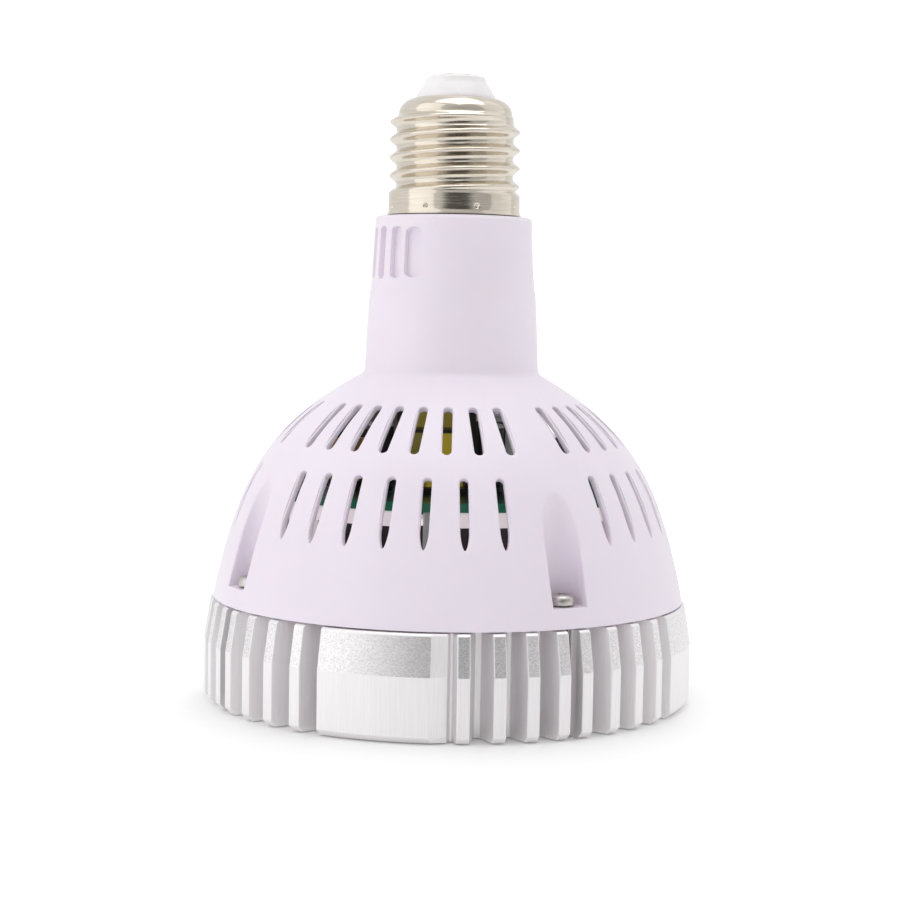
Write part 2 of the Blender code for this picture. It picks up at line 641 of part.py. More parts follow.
def dome_curve():
    """The dome's outer meridian as (r, z) points, from the neck down to the rim."""
    width = HOUSING_RIM_RADIUS - NECK_FOOT_RADIUS
    neck = Vector((NECK_FOOT_RADIUS, DOME_TOP))
    rim = Vector((HOUSING_RIM_RADIUS, HOUSING_FOOT))
    neck_handle = neck + Vector((NECK_HANDLE_SHARES[0] * width, -NECK_HANDLE_SHARES[1] * DOME_HEIGHT))
    rim_handle = rim + Vector((-RIM_HANDLE_SHARES[0] * width, RIM_HANDLE_SHARES[1] * DOME_HEIGHT))
    return interpolate_bezier(neck, neck_handle, rim_handle, rim, DOME_STEPS + 1)


def curve_radius(points, height):
    """The radius of a meridian, given from the top down, at one height."""
    for upper, lower in zip(points, points[1:]):
        if lower[1] <= height <= upper[1]:
            share = (height - lower[1]) / (upper[1] - lower[1])
            return lower[0] + share * (upper[0] - lower[0])
    return points[-1][0]


def dome_radius(height):
    return curve_radius(dome_curve(), height)


def neck_radius(height):
    return curve_radius(((NECK_TOP_RADIUS, NECK_TOP), (NECK_FOOT_RADIUS, DOME_TOP)), height)


def inner_dome():
    """The dome's meridian moved inward by the wall."""
    outer = dome_curve()
    inner = []
    for index, point in enumerate(outer):
        before = outer[max(index - 1, 0)]
        after = outer[min(index + 1, len(outer) - 1)]
        along = (after - before).normalized()
        inner.append(point + Vector((along.y, -along.x)) * HOUSING_WALL)
    return inner


def housing_outline():
    outline = [
        (0.0, NECK_TOP + SPIGOT_HEIGHT),
        (SPIGOT_RADIUS, NECK_TOP + SPIGOT_HEIGHT),
        (SPIGOT_RADIUS, NECK_TOP),
        (NECK_TOP_RADIUS - NECK_ROUND, NECK_TOP),
        (NECK_TOP_RADIUS - NECK_ROUND * ROUND_SHARE, NECK_TOP - NECK_ROUND * ROUND_SHARE),
        (NECK_TOP_RADIUS, NECK_TOP - NECK_ROUND),
    ]
    outline += [(point.x, point.y) for point in dome_curve()]
    outline.append((0.0, HOUSING_FOOT))
    return outline


def cavity_outline():
    inner = inner_dome()
    spigot_bore = SPIGOT_RADIUS - NECK_WALL
    outline = [
        (0.0, NECK_TOP + SPIGOT_HEIGHT + OVERRUN),
        (spigot_bore, NECK_TOP + SPIGOT_HEIGHT + OVERRUN),
        (spigot_bore, NECK_TOP - NECK_WALL),
        (neck_radius(NECK_TOP - NECK_WALL) - NECK_WALL, NECK_TOP - NECK_WALL),
        (NECK_FOOT_RADIUS - NECK_WALL, inner[0].y),
    ]
    outline += [(point.x, point.y) for point in inner]
    outline.append((inner[-1].x, HOUSING_FOOT - OVERRUN))
    outline.append((0.0, HOUSING_FOOT - OVERRUN))
    return outline


def wall_frame(azimuth, foot, top, radius_of):
    """A frame on the outer wall: X round the lamp, Y up the wall, Z out of it, at the slot's foot."""
    low = Vector((radius_of(foot), foot))
    high = Vector((radius_of(top), top))
    along = (high - low).normalized()
    outward = polar(1.0, azimuth)
    angle = math.radians(azimuth)
    axis_x = Vector((math.cos(angle), math.sin(angle), 0.0))
    axis_y = outward * along.x + Vector((0.0, 0.0, along.y))
    axis_z = outward * along.y - Vector((0.0, 0.0, along.x))
    frame = Matrix((axis_x, axis_y, axis_z)).transposed().to_4x4()
    frame.translation = polar(low.x, azimuth, foot)
    return frame, (high - low).length


def round_end(half, height, turn):
    points = []
    for step in range(SLOT_END_STEPS + 1):
        angle = math.radians(turn + 2 * QUARTER_TURN * step / SLOT_END_STEPS)
        points.append((half * math.cos(angle), height + half * math.sin(angle)))
    return points


def upper_slot_outline(length):
    half = UPPER_SLOT_WIDTH / 2
    return round_end(half, length - half, 0.0) + round_end(half, half, 2 * QUARTER_TURN)


def lower_slot_outline(length):
    """A round top and a pointed foot, like a gothic arch upside down."""
    half = LOWER_SLOT_WIDTH / 2
    middle = (half * TIP_MIDDLE_SHARES[0], LOWER_SLOT_TIP * (1 - TIP_MIDDLE_SHARES[1]))
    tip = [(-half, LOWER_SLOT_TIP), (-middle[0], middle[1]), (0.0, 0.0)]
    tip += [(middle[0], middle[1]), (half, LOWER_SLOT_TIP)]
    return round_end(half, length - half, 0.0) + tip


def add_wall_cut(shape, azimuth, foot, top, radius_of, outline_of, depth):
    frame, length = wall_frame(azimuth, foot, top, radius_of)
    add_prism(shape, outline_of(length), frame, -depth, 2 * OVERRUN)


def groove_outline(length):
    points = rounded_rectangle(GROOVE_WIDTH, length, GROOVE_CORNER, 1)
    return [(x, y + length / 2) for x, y in points]


def channel_outline():
    """A screw recess in plan at azimuth 0: round towards the axis and open outward."""
    reach = HOUSING_RIM_RADIUS + OVERRUN
    points = [(CHANNEL_RADIUS, -reach)]
    for step in range(CHANNEL_STEPS + 1):
        angle = math.radians(2 * QUARTER_TURN * step / CHANNEL_STEPS)
        across = CHANNEL_RADIUS * math.cos(angle)
        points.append((across, CHANNEL_RADIUS * math.sin(angle) - PORT_AXIS_RADIUS))
    points.append((-CHANNEL_RADIUS, -reach))
    return points


def build_housing():
    housing = turned("housing", housing_outline(), HOUSING_SEGMENTS, first_edge=HOUSING_TURN)

    cavity = turned("housing_cavity", cavity_outline(), HOUSING_SEGMENTS, first_edge=HOUSING_TURN)
    cavity.hide_render = True
    cavity.display_type = "WIRE"
    boss = bmesh.new()
    channel = bmesh.new()
    holes = bmesh.new()
    ledge = HOUSING_FOOT + LEDGE_THICKNESS
    for azimuth in quarter_azimuths(SCREW_AZIMUTH):
        centre = polar(PORT_AXIS_RADIUS, azimuth)
        foot = HOUSING_FOOT - 2 * OVERRUN
        top = ledge + CHANNEL_REACH
        add_cylinder(boss, CHANNEL_RADIUS + HOUSING_WALL, foot, top, centre, BOSS_SEGMENTS)
        turn = Matrix.Rotation(math.radians(azimuth), 4, "Z")
        add_prism(channel, channel_outline(), turn, ledge, top)
        add_cylinder(holes, SCREW_HOLE_RADIUS, foot, ledge + OVERRUN, centre, SMALL_SEGMENTS)
    combine(cavity, helper("housing_boss_columns", boss), "DIFFERENCE")
    combine(housing, cavity, "DIFFERENCE")
    combine(housing, helper("housing_screw_channels", channel), "DIFFERENCE")
    combine(housing, helper("housing_screw_holes", holes), "DIFFERENCE")

    slots = bmesh.new()
    depth = HOUSING_WALL + OVERRUN
    for screw in quarter_azimuths(SCREW_AZIMUTH):
        for angle in UPPER_SLOT_ANGLES:
            where = (screw + angle, UPPER_SLOT_FOOT, UPPER_SLOT_TOP)
            add_wall_cut(slots, *where, dome_radius, upper_slot_outline, depth)
        pad = screw - QUARTER_TURN / 2
        for angle in LOWER_SLOT_ANGLES:
            where = (pad + angle, LOWER_SLOT_FOOT, LOWER_SLOT_TOP)
            add_wall_cut(slots, *where, dome_radius, lower_slot_outline, depth)
    combine(housing, helper("housing_slots", slots), "DIFFERENCE")

    grooves = bmesh.new()
    for side in GRIP_SIDES:
        for index in range(GROOVE_COUNT):
            turn = GROOVE_SPACING * (index - (GROOVE_COUNT - 1) / 2)
            where = (SCREW_AZIMUTH + side + turn, GROOVE_FOOT, GROOVE_TOP)
            add_wall_cut(grooves, *where, neck_radius, groove_outline, GROOVE_DEPTH)
    combine(housing, helper("housing_grip_grooves", grooves), "DIFFERENCE")
    return finish(housing, WHITE_MOULDING)


# Cap


def shell_radius(height, azimuth):
    """The shell's outer radius, at a height above its foot."""
    turn = (height - FIRST_CREST) / THREAD_PITCH - azimuth / FULL_TURN
    wave = 0.5 + 0.5 * math.cos(2 * math.pi * turn)
    thread = THREAD_ROOT_RADIUS + (THREAD_CREST_RADIUS - THREAD_ROOT_RADIUS) * wave
    from_skirt = min(max((height - SKIRT_HEIGHT) / SKIRT_FADE, 0.0), 1.0)
    to_shoulder = min(max((SHOULDER_START - height) / SHOULDER_FADE, 0.0), 1.0)
    low = SKIRT_RADIUS + (thread - SKIRT_RADIUS) * from_skirt
    return SHOULDER_RADIUS + (low - SHOULDER_RADIUS) * to_shoulder


def shell_column(azimuth):
    """(r, z) points up the shell at one azimuth; rows of the thread climb with it."""
    column = [(SKIRT_RADIUS + SKIRT_FLARE, 0.0)]
    column.append((SKIRT_RADIUS, PUNCH_FOOT))
    column.append((SKIRT_RADIUS, PUNCH_FOOT + PUNCH_HEIGHT))
    row_step = THREAD_PITCH / THREAD_ROWS
    below = math.ceil((FIRST_CREST - SKIRT_HEIGHT + THREAD_PITCH) / row_step)
    above = math.ceil((SHOULDER_START - FIRST_CREST) / row_step)
    for row in range(-below, above + 1):
        height = FIRST_CREST + row * row_step + THREAD_PITCH * azimuth / FULL_TURN
        height = min(max(height, SKIRT_HEIGHT), SHOULDER_START)
        column.append((shell_radius(height, azimuth), height))
    for step in range(1, SHOULDER_STEPS + 1):
        angle = math.radians(QUARTER_TURN * step / SHOULDER_STEPS)
        radius = LIP_RADIUS + (SHOULDER_RADIUS - LIP_RADIUS) * math.cos(angle)
        column.append((radius, SHOULDER_START + SHOULDER_RISE * math.sin(angle)))
    return column


def build_screw_shell():
    shape = bmesh.new()
    columns = []
    for index in range(THREAD_COLUMNS + 1):
        azimuth = FULL_TURN * index / THREAD_COLUMNS
        points = [polar(radius, azimuth, height) for radius, height in shell_column(azimuth)]
        columns.append([shape.verts.new(point) for point in points])
    punched = []
    for index, (left, right) in enumerate(zip(columns, columns[1:])):
        for row in range(len(left) - 1):
            face = shape.faces.new((left[row], right[row], right[row + 1], left[row + 1]))
            if row == 1 and index % PUNCH_EVERY == 0:
                punched.append(face)
    bmesh.ops.inset_individual(shape, faces=punched, thickness=PUNCH_INSET, depth=-PUNCH_DEPTH)
    bmesh.ops.remove_doubles(shape, verts=shape.verts, dist=WELD)
    bmesh.ops.dissolve_degenerate(shape, edges=shape.edges, dist=WELD)
    mesh = bpy.data.meshes.new("screw_shell")
    shape.to_mesh(mesh)
    shape.free()
    mesh.shade_smooth()
    mesh.set_sharp_from_angle(angle=math.radians(SMOOTH_ANGLE))
    shell = place("screw_shell", mesh, (0.0, 0.0, SHELL_FOOT))
    shell.rotation_euler.z = math.radians(PUNCH_TURN)
    wall = shell.modifiers.new("sheet", "SOLIDIFY")
    wall.thickness = SHELL_SHEET
    wall.offset = -1.0
    return finish(shell, CAP_METAL)


def build_cap_insulator():
    """A moulded button held under the shell's lip, with a seat for the contact."""
    lip = LIP_RADIUS - GAP
    under = SHELL_SHEET + GAP
    shoulder = SHELL_FOOT + SHOULDER_START
    top = LIP_HEIGHT + INSULATOR_RISE
    seat = CONTACT_RADIUS + GAP
    hole = CONTACT_SHANK_RADIUS + GAP
    flange_foot = shoulder - INSULATOR_FLANGE
    outline = [(hole, flange_foot), (hole, top - CONTACT_HEIGHT), (seat, top - CONTACT_HEIGHT), (seat, top)]
    outline.append((INSULATOR_TOP_RADIUS, top))
    outline.append((INSULATOR_TOP_RADIUS + INSULATOR_EDGE, top - INSULATOR_EDGE * INSULATOR_EDGE_SHARE))
    outline.append((lip, LIP_HEIGHT + INSULATOR_STRAIGHT))
    outline.append((lip, LIP_HEIGHT - under))
    for step in range(SHOULDER_STEPS, -1, -1):
        angle = math.radians(QUARTER_TURN * step / SHOULDER_STEPS)
        radius = LIP_RADIUS + (SHOULDER_RADIUS - under - LIP_RADIUS) * math.cos(angle)
        outline.append((radius, shoulder + (SHOULDER_RISE - under) * math.sin(angle)))
    outline.append((SHOULDER_RADIUS - under, flange_foot))
    return finish(turned("cap_insulator", outline, CAP_SEGMENTS), CERAMIC)


def build_centre_contact():
    foot = LIP_HEIGHT + INSULATOR_RISE - CONTACT_HEIGHT + GAP
    outline = (
        (0.0, CONTACT_HEIGHT),
        (CONTACT_RADIUS - CONTACT_EDGE, CONTACT_HEIGHT),
        (CONTACT_RADIUS, CONTACT_HEIGHT - CONTACT_EDGE),
        (CONTACT_RADIUS, 0.0),
        (CONTACT_SHANK_RADIUS, 0.0),
        (CONTACT_SHANK_RADIUS, -CONTACT_SHANK_LENGTH),
        (0.0, -CONTACT_SHANK_LENGTH),
    )
    return finish(turned("centre_contact", outline, CAP_SEGMENTS, (0.0, 0.0, foot)), CAP_METAL)


# Screws


def screw_mesh(length, segments):
    """A pan head above its seat at z = 0, with its shank below."""
    crown = SCREW_HEAD_RADIUS * HEAD_CROWN_SHARE
    edge = SCREW_HEAD_HEIGHT * HEAD_EDGE_SHARE
    outline = (
        (0.0, SCREW_HEAD_HEIGHT),
        (crown, SCREW_HEAD_HEIGHT),
        (SCREW_HEAD_RADIUS, edge),
        (SCREW_HEAD_RADIUS, 0.0),
        (SCREW_SHANK_RADIUS, 0.0),
        (SCREW_SHANK_RADIUS, -length),
        (0.0, -length),
    )
    shape = bmesh.new()
    add_turned(shape, outline, segments)
    return mesh_from("screw", shape)


def place_screws(name, mesh, radius, azimuths, seat, head_down):
    for number, azimuth in enumerate(azimuths, start=1):
        made = place(f"{name}_{number}", mesh.copy(), polar(radius, azimuth, seat))
        finish(made, SCREW_STEEL)
        if head_down:
            made.rotation_euler.x = math.radians(2 * QUARTER_TURN)


def build_screws():
    screws = quarter_azimuths(SCREW_AZIMUTH)
    ledge = HOUSING_FOOT + LEDGE_THICKNESS + GAP
    housing_mesh = screw_mesh(HOUSING_SCREW_LENGTH, SMALL_SEGMENTS)
    place_screws("housing_screw", housing_mesh, PORT_AXIS_RADIUS, screws, ledge, False)
    lens_seat = LENS_SETBACK + LENS_HEAD_SINK - GAP
    lens_mesh = screw_mesh(WEB_TOP + POST_HOLE_DEPTH - OVERRUN - lens_seat, SMALL_SEGMENTS)
    place_screws("lens_screw", lens_mesh, POST_AXIS_RADIUS, screws, lens_seat, True)
    board_mesh = screw_mesh(BOARD_SCREW_LENGTH, TINY_SEGMENTS)
    place_screws("board_screw", board_mesh, POST_AXIS_RADIUS, screws, PART_FOOT, False)
    fan_mesh = screw_mesh(FAN_THICKNESS + BRACKET_HEIGHT, TINY_SEGMENTS)
    corners = quarter_azimuths(QUARTER_TURN / 2)
    place_screws("fan_screw", fan_mesh, FAN_HOLE_OFFSET * DIAGONAL, corners, FAN_FOOT - GAP, True)


# Light board and lens plate


def light_places():
    outer_start = SCREW_AZIMUTH + FULL_TURN / OUTER_LIGHTS / 2
    turns = [FULL_TURN * index / OUTER_LIGHTS for index in range(OUTER_LIGHTS)]
    outer = [polar(OUTER_LIGHT_RADIUS, outer_start + turn) for turn in turns]
    inner_start = SCREW_AZIMUTH + QUARTER_TURN / 2
    turns = [FULL_TURN * index / INNER_LIGHTS for index in range(INNER_LIGHTS)]
    inner = [polar(INNER_LIGHT_RADIUS, inner_start + turn) for turn in turns]
    return outer + inner


def build_light_board():
    top = LIGHT_BOARD_FOOT + LIGHT_BOARD_THICKNESS
    board = prism("light_board", circle(RECESS_RADIUS - 2 * GAP, BORE_SEGMENTS), LIGHT_BOARD_FOOT, top)
    holes = bmesh.new()
    for azimuth in quarter_azimuths(SCREW_AZIMUTH):
        centre = polar(POST_AXIS_RADIUS, azimuth)
        foot = LIGHT_BOARD_FOOT - OVERRUN
        add_cylinder(holes, SCREW_HOLE_RADIUS, foot, top + OVERRUN, centre, SMALL_SEGMENTS)
    combine(board, helper("light_board_holes", holes), "DIFFERENCE")
    finish(board, LIGHT_BOARD_WHITE)

    outline = (
        (0.0, -LIGHT_BASE - LIGHT_DOME),
        (LIGHT_RADIUS * DOME_CROWN_SHARE, -LIGHT_BASE - LIGHT_DOME),
        (LIGHT_RADIUS, -LIGHT_BASE),
        (LIGHT_RADIUS, 0.0),
        (0.0, 0.0),
    )
    shape = bmesh.new()
    add_turned(shape, outline, TINY_SEGMENTS)
    mesh = mesh_from("light", shape)
    rise = Vector((0.0, 0.0, LIGHT_BOARD_FOOT - GAP))
    for number, where in enumerate(light_places(), start=1):
        finish(place(f"light_{number:02d}", mesh.copy(), where + rise), LIGHT_YELLOW)


def build_lens_plate():
    """A clear plate with a cone over each light and a hollow column at each screw."""
    back = LENS_SETBACK + LENS_THICKNESS
    lens = prism("lens_plate", circle(RECESS_RADIUS - 2 * GAP, BORE_SEGMENTS), LENS_SETBACK, back)
    cup_top = LIGHT_BOARD_FOOT - 2 * GAP - LIGHT_BASE - LIGHT_DOME
    column_top = LIGHT_BOARD_FOOT - GAP
    raised = bmesh.new()
    for where in light_places():
        outline = (
            (0.0, cup_top),
            (LENS_CUP_TOP_RADIUS, cup_top),
            (LENS_CUP_RADIUS, back - LENS_THICKNESS / 2),
            (0.0, back - LENS_THICKNESS / 2),
        )
        add_turned(raised, outline, SMALL_SEGMENTS, where)
    for azimuth in quarter_azimuths(SCREW_AZIMUTH):
        centre = polar(POST_AXIS_RADIUS, azimuth)
        foot = back - LENS_THICKNESS / 2
        add_cylinder(raised, LENS_COLUMN_RADIUS, foot, column_top, centre, SMALL_SEGMENTS)
    combine(lens, helper("lens_plate_cups", raised), "UNION")
    holes = bmesh.new()
    heads = bmesh.new()
    for azimuth in quarter_azimuths(SCREW_AZIMUTH):
        centre = polar(POST_AXIS_RADIUS, azimuth)
        seat = LENS_SETBACK + LENS_HEAD_SINK
        add_cylinder(heads, SCREW_HEAD_RADIUS + GAP, LENS_SETBACK - OVERRUN, seat, centre, SMALL_SEGMENTS)
        add_cylinder(holes, SCREW_HOLE_RADIUS, LENS_SETBACK, column_top + OVERRUN, centre, SMALL_SEGMENTS)
    combine(lens, helper("lens_plate_counterbores", heads), "DIFFERENCE")
    combine(lens, helper("lens_plate_screw_holes", holes), "DIFFERENCE")
    return finish(lens, CLEAR_LENS)


# Fan


def fan_corners():
    return [(x * FAN_HOLE_OFFSET, y * FAN_HOLE_OFFSET) for x in (-1, 1) for y in (-1, 1)]


def build_fan_frame():
    """A square frame with a round duct, open above, and a motor base on crossed struts below."""
    frame = prism("fan_frame", rounded_rectangle(FAN_SIDE, FAN_SIDE, FAN_CORNER), 0.0, FAN_THICKNESS)
    frame.location.z = FAN_FOOT
    duct = bmesh.new()
    add_cylinder(duct, FAN_DUCT_RADIUS, -OVERRUN, FAN_THICKNESS + OVERRUN, (0.0, 0.0), DUCT_SEGMENTS)
    for corner in fan_corners():
        add_cylinder(duct, FAN_HOLE_RADIUS, -OVERRUN, FAN_THICKNESS + OVERRUN, corner, SMALL_SEGMENTS)
    combine(frame, parented(helper("fan_frame_duct", duct), frame), "DIFFERENCE")

    base = bmesh.new()
    bearing = SHAFT_RADIUS + GAP
    add_turned(
        base,
        (
            (0.0, BEARING_FLOOR),
            (bearing, BEARING_FLOOR),
            (bearing, FAN_BASE_THICKNESS + BEARING_HEIGHT),
            (bearing + BEARING_WALL, FAN_BASE_THICKNESS + BEARING_HEIGHT),
            (bearing + BEARING_WALL, FAN_BASE_THICKNESS),
            (FAN_BASE_RADIUS, FAN_BASE_THICKNESS),
            (FAN_BASE_RADIUS, 0.0),
            (0.0, 0.0),
        ),
        CUP_SEGMENTS,
    )
    struts = bmesh.new()
    reach = FAN_DUCT_RADIUS + FAN_WALL / 2
    inside = FAN_BASE_RADIUS - FAN_STRUT_WIDTH
    for azimuth in quarter_azimuths(QUARTER_TURN / 2):
        outline = (
            (-FAN_STRUT_WIDTH / 2, inside),
            (FAN_STRUT_WIDTH / 2, inside),
            (FAN_STRUT_WIDTH / 2, reach),
            (-FAN_STRUT_WIDTH / 2, reach),
        )
        turn = Matrix.Rotation(math.radians(azimuth), 4, "Z")
        add_prism(struts, outline, turn, 0.0, FAN_BASE_THICKNESS * STRUT_HEIGHT_SHARE)
    combine(frame, parented(helper("fan_frame_base", base), frame), "UNION")
    combine(frame, parented(helper("fan_frame_struts", struts), frame), "UNION")
    return finish(frame, BLACK_PLASTIC)


def parented(child, parent):
    child.parent = parent
    return child


def build_fan_stator(frame):
    """Four wound poles round the bearing tube."""
    inner = SHAFT_RADIUS + BEARING_WALL + 2 * GAP
    points = []
    for azimuth in quarter_azimuths(0.0):
        for share in POLE_SHARES:
            points.append(polar(STATOR_RADIUS, azimuth + QUARTER_TURN * share))
        points.append(polar(STATOR_WAIST_RADIUS, azimuth + QUARTER_TURN / 2))
    foot = FAN_BASE_THICKNESS + GAP
    outline = [(point.x, point.y) for point in points]
    stator = prism("fan_stator", outline, foot, foot + STATOR_HEIGHT)
    tube = bmesh.new()
    add_cylinder(tube, inner, foot - OVERRUN, foot + STATOR_HEIGHT + OVERRUN, (0.0, 0.0), CUP_SEGMENTS)
    combine(stator, parented(helper("fan_stator_bore", tube), frame), "DIFFERENCE")
    stator.parent = frame
    return finish(stator, COPPER)


def blade_ring(share):
    """The four-sided section of a blade at a share of the way from root to tip."""
    root = HUB_RADIUS - HUB_WALL / 2
    tip = FAN_DUCT_RADIUS - BLADE_TIP_CLEARANCE
    radius = root + (tip - root) * share
    chord = BLADE_ROOT_CHORD + (BLADE_TIP_CHORD - BLADE_ROOT_CHORD) * share
    pitch = math.radians(BLADE_ROOT_PITCH + (BLADE_TIP_PITCH - BLADE_ROOT_PITCH) * share)
    along = Vector((math.cos(pitch), math.sin(pitch))) * chord / 2
    across = Vector((-math.sin(pitch), math.cos(pitch))) * BLADE_THICKNESS / 2
    middle = HUB_HEIGHT / 2
    ring = []
    for corner in (along + across, -along + across, -along - across, along - across):
        turn = math.degrees(corner.x / radius) + BLADE_SWEEP * share
        ring.append(polar(radius, turn, middle + corner.y))
    return ring


def build_fan_rotor():
    """A hub cup with its shaft and swept, twisted blades; its origin is on the spin axis."""
    inside = HUB_RADIUS - HUB_WALL
    shaft_foot = -(FAN_BASE_THICKNESS + HUB_LIFT - BEARING_FLOOR - GAP)
    outline = (
        (0.0, HUB_HEIGHT),
        (HUB_RADIUS - HUB_EDGE, HUB_HEIGHT),
        (HUB_RADIUS, HUB_HEIGHT - HUB_EDGE),
        (HUB_RADIUS, 0.0),
        (inside, 0.0),
        (inside, HUB_HEIGHT - HUB_WALL),
        (SHAFT_RADIUS, HUB_HEIGHT - HUB_WALL),
        (SHAFT_RADIUS, shaft_foot),
        (0.0, shaft_foot),
    )
    foot = FAN_FOOT + FAN_BASE_THICKNESS + HUB_LIFT
    rotor = turned("fan_rotor", outline, ROTOR_SEGMENTS, (0.0, 0.0, foot))
    blades = bmesh.new()
    for number in range(BLADE_COUNT):
        turn = Matrix.Rotation(math.radians(FULL_TURN * number / BLADE_COUNT), 3, "Z")
        rings = [blade_ring(station / (BLADE_STATIONS - 1)) for station in range(BLADE_STATIONS)]
        add_skinned(blades, [[turn @ point for point in ring] for ring in rings])
    combine(rotor, parented(helper("fan_rotor_blades", blades), rotor), "UNION")
    return finish(rotor, BLACK_PLASTIC)


# Bracket


def build_fan_bracket():
    """A shallow tray on four posts: it carries the driver board above and the fan below."""
    plate_top = BRACKET_FOOT + BRACKET_PLATE
    outline = (
        (FAN_DUCT_RADIUS, BRACKET_FOOT),
        (FAN_DUCT_RADIUS, plate_top),
        (BRACKET_RADIUS - BRACKET_BAND, plate_top),
        (BRACKET_RADIUS - BRACKET_BAND, BRACKET_TOP),
        (BRACKET_RADIUS, BRACKET_TOP),
        (BRACKET_RADIUS, BRACKET_FOOT),
    )
    bracket = turned("fan_bracket", outline, BRACKET_SEGMENTS)
    posts = bmesh.new()
    pilots = bmesh.new()
    foot = WEB_TOP + GAP
    for azimuth in quarter_azimuths(SCREW_AZIMUTH):
        centre = polar(POST_AXIS_RADIUS, azimuth)
        add_cylinder(posts, POST_RADIUS, foot, BRACKET_TOP, centre, TINY_SEGMENTS)
        for low, high in (
            (foot - OVERRUN, foot + POST_HOLE_DEPTH),
            (BRACKET_TOP - POST_HOLE_DEPTH, BRACKET_TOP + OVERRUN),
        ):
            add_cylinder(pilots, SCREW_HOLE_RADIUS, low, high, centre, TINY_SEGMENTS)
    for corner in fan_corners():
        add_cylinder(posts, FAN_BOSS_RADIUS, BRACKET_FOOT, BRACKET_TOP, corner, TINY_SEGMENTS)
        low = BRACKET_FOOT - OVERRUN
        add_cylinder(pilots, SCREW_HOLE_RADIUS, low, BRACKET_TOP + OVERRUN, corner, TINY_SEGMENTS)
    combine(bracket, helper("fan_bracket_posts", posts), "UNION")

    for azimuth in AIR_WINDOW_AZIMUTHS:
        add_band_cut(pilots, azimuth, AIR_WINDOW_WIDTH, plate_top)
    for azimuth in (SLEEVE_AZIMUTH, FAN_LEAD_AZIMUTH):
        add_band_cut(pilots, azimuth, LEAD_NOTCH_WIDTH, BRACKET_FOOT - OVERRUN)
    combine(bracket, helper("fan_bracket_cuts", pilots), "DIFFERENCE")
    return finish(bracket, BRACKET_WHITE)


def add_band_cut(shape, azimuth, width, foot):
    """A cut through the tray's band, from this height up."""
    inside = BRACKET_RADIUS - BRACKET_BAND - LEAD_NOTCH_WIDTH / 2
    outline = (
        (-width / 2, -inside),
        (-width / 2, -BRACKET_RADIUS - OVERRUN),
        (width / 2, -BRACKET_RADIUS - OVERRUN),
        (width / 2, -inside),
    )
    turn = Matrix.Rotation(math.radians(azimuth), 4, "Z")
    add_prism(shape, outline, turn, foot, BRACKET_TOP + OVERRUN)


# Driver


def build_driver_board():
    board = prism("driver_board", circle(BOARD_RADIUS, BORE_SEGMENTS), BOARD_FOOT, BOARD_TOP)
    holes = bmesh.new()
    for azimuth in quarter_azimuths(SCREW_AZIMUTH):
        centre = polar(POST_AXIS_RADIUS, azimuth)
        foot = BOARD_FOOT - OVERRUN
        add_cylinder(holes, SCREW_HOLE_RADIUS, foot, BOARD_TOP + OVERRUN, centre, SMALL_SEGMENTS)
    combine(board, helper("driver_board_holes", holes), "DIFFERENCE")
    return finish(board, BOARD_GREEN)


def build_transformer():
    """A bobbin, its taped winding, and an E-shaped ferrite core that straddles the winding."""
    place_at = (TRANSFORMER_X, TRANSFORMER_Y, PART_FOOT)
    outline = rounded_rectangle(BOBBIN_WIDTH, BOBBIN_DEPTH, BOX_CORNER)
    finish(prism("transformer_bobbin", outline, 0.0, BOBBIN_BASE, place_at), BLACK_PLASTIC)
    foot = BOBBIN_BASE + GAP
    outline = rounded_rectangle(WINDING_WIDTH, BOBBIN_DEPTH, WINDING_CORNER)
    finish(prism("transformer_winding", outline, foot, foot + WINDING_HEIGHT, place_at), TAPE_YELLOW)

    half = BOBBIN_WIDTH / 2
    inner = half - CORE_LEG
    yoke = foot + WINDING_HEIGHT + GAP
    outline = (
        (-half, foot),
        (-inner, foot),
        (-inner, yoke),
        (inner, yoke),
        (inner, foot),
        (half, foot),
        (half, yoke + CORE_YOKE),
        (-half, yoke + CORE_YOKE),
    )
    shape = bmesh.new()
    upright = Matrix.Rotation(math.radians(QUARTER_TURN), 4, "X")
    add_prism(shape, outline, upright, -CORE_DEPTH / 2, CORE_DEPTH / 2)
    finish(place("transformer_core", mesh_from("transformer_core", shape), place_at), FERRITE)


def add_capacitor(name, x, y, radius, height):
    """An upright can in its sleeve, with the crimp near its foot."""
    crimp = CAPACITOR_CRIMP_HEIGHT
    outline = (
        (0.0, height),
        (radius - CAPACITOR_EDGE, height),
        (radius, height - CAPACITOR_EDGE),
        (radius, crimp),
        (radius - CAPACITOR_EDGE, crimp - CAPACITOR_EDGE),
        (radius, crimp - 2 * CAPACITOR_EDGE),
        (radius, 0.0),
        (0.0, 0.0),
    )
    finish(turned(name, outline, CUP_SEGMENTS, (x, y, PART_FOOT)), CAPACITOR_SLEEVE)


def build_capacitors():
    small = (INPUT_CAPACITOR_RADIUS, INPUT_CAPACITOR_HEIGHT)
    add_capacitor("input_capacitor_left", LEFT_CAPACITOR_X, LEFT_CAPACITOR_Y, *small)
    add_capacitor("input_capacitor_right", RIGHT_CAPACITOR_X, RIGHT_CAPACITOR_Y, *small)
    large = (OUTPUT_CAPACITOR_RADIUS, OUTPUT_CAPACITOR_HEIGHT)
    add_capacitor("output_capacitor", OUTPUT_CAPACITOR_X, OUTPUT_CAPACITOR_Y, *large)


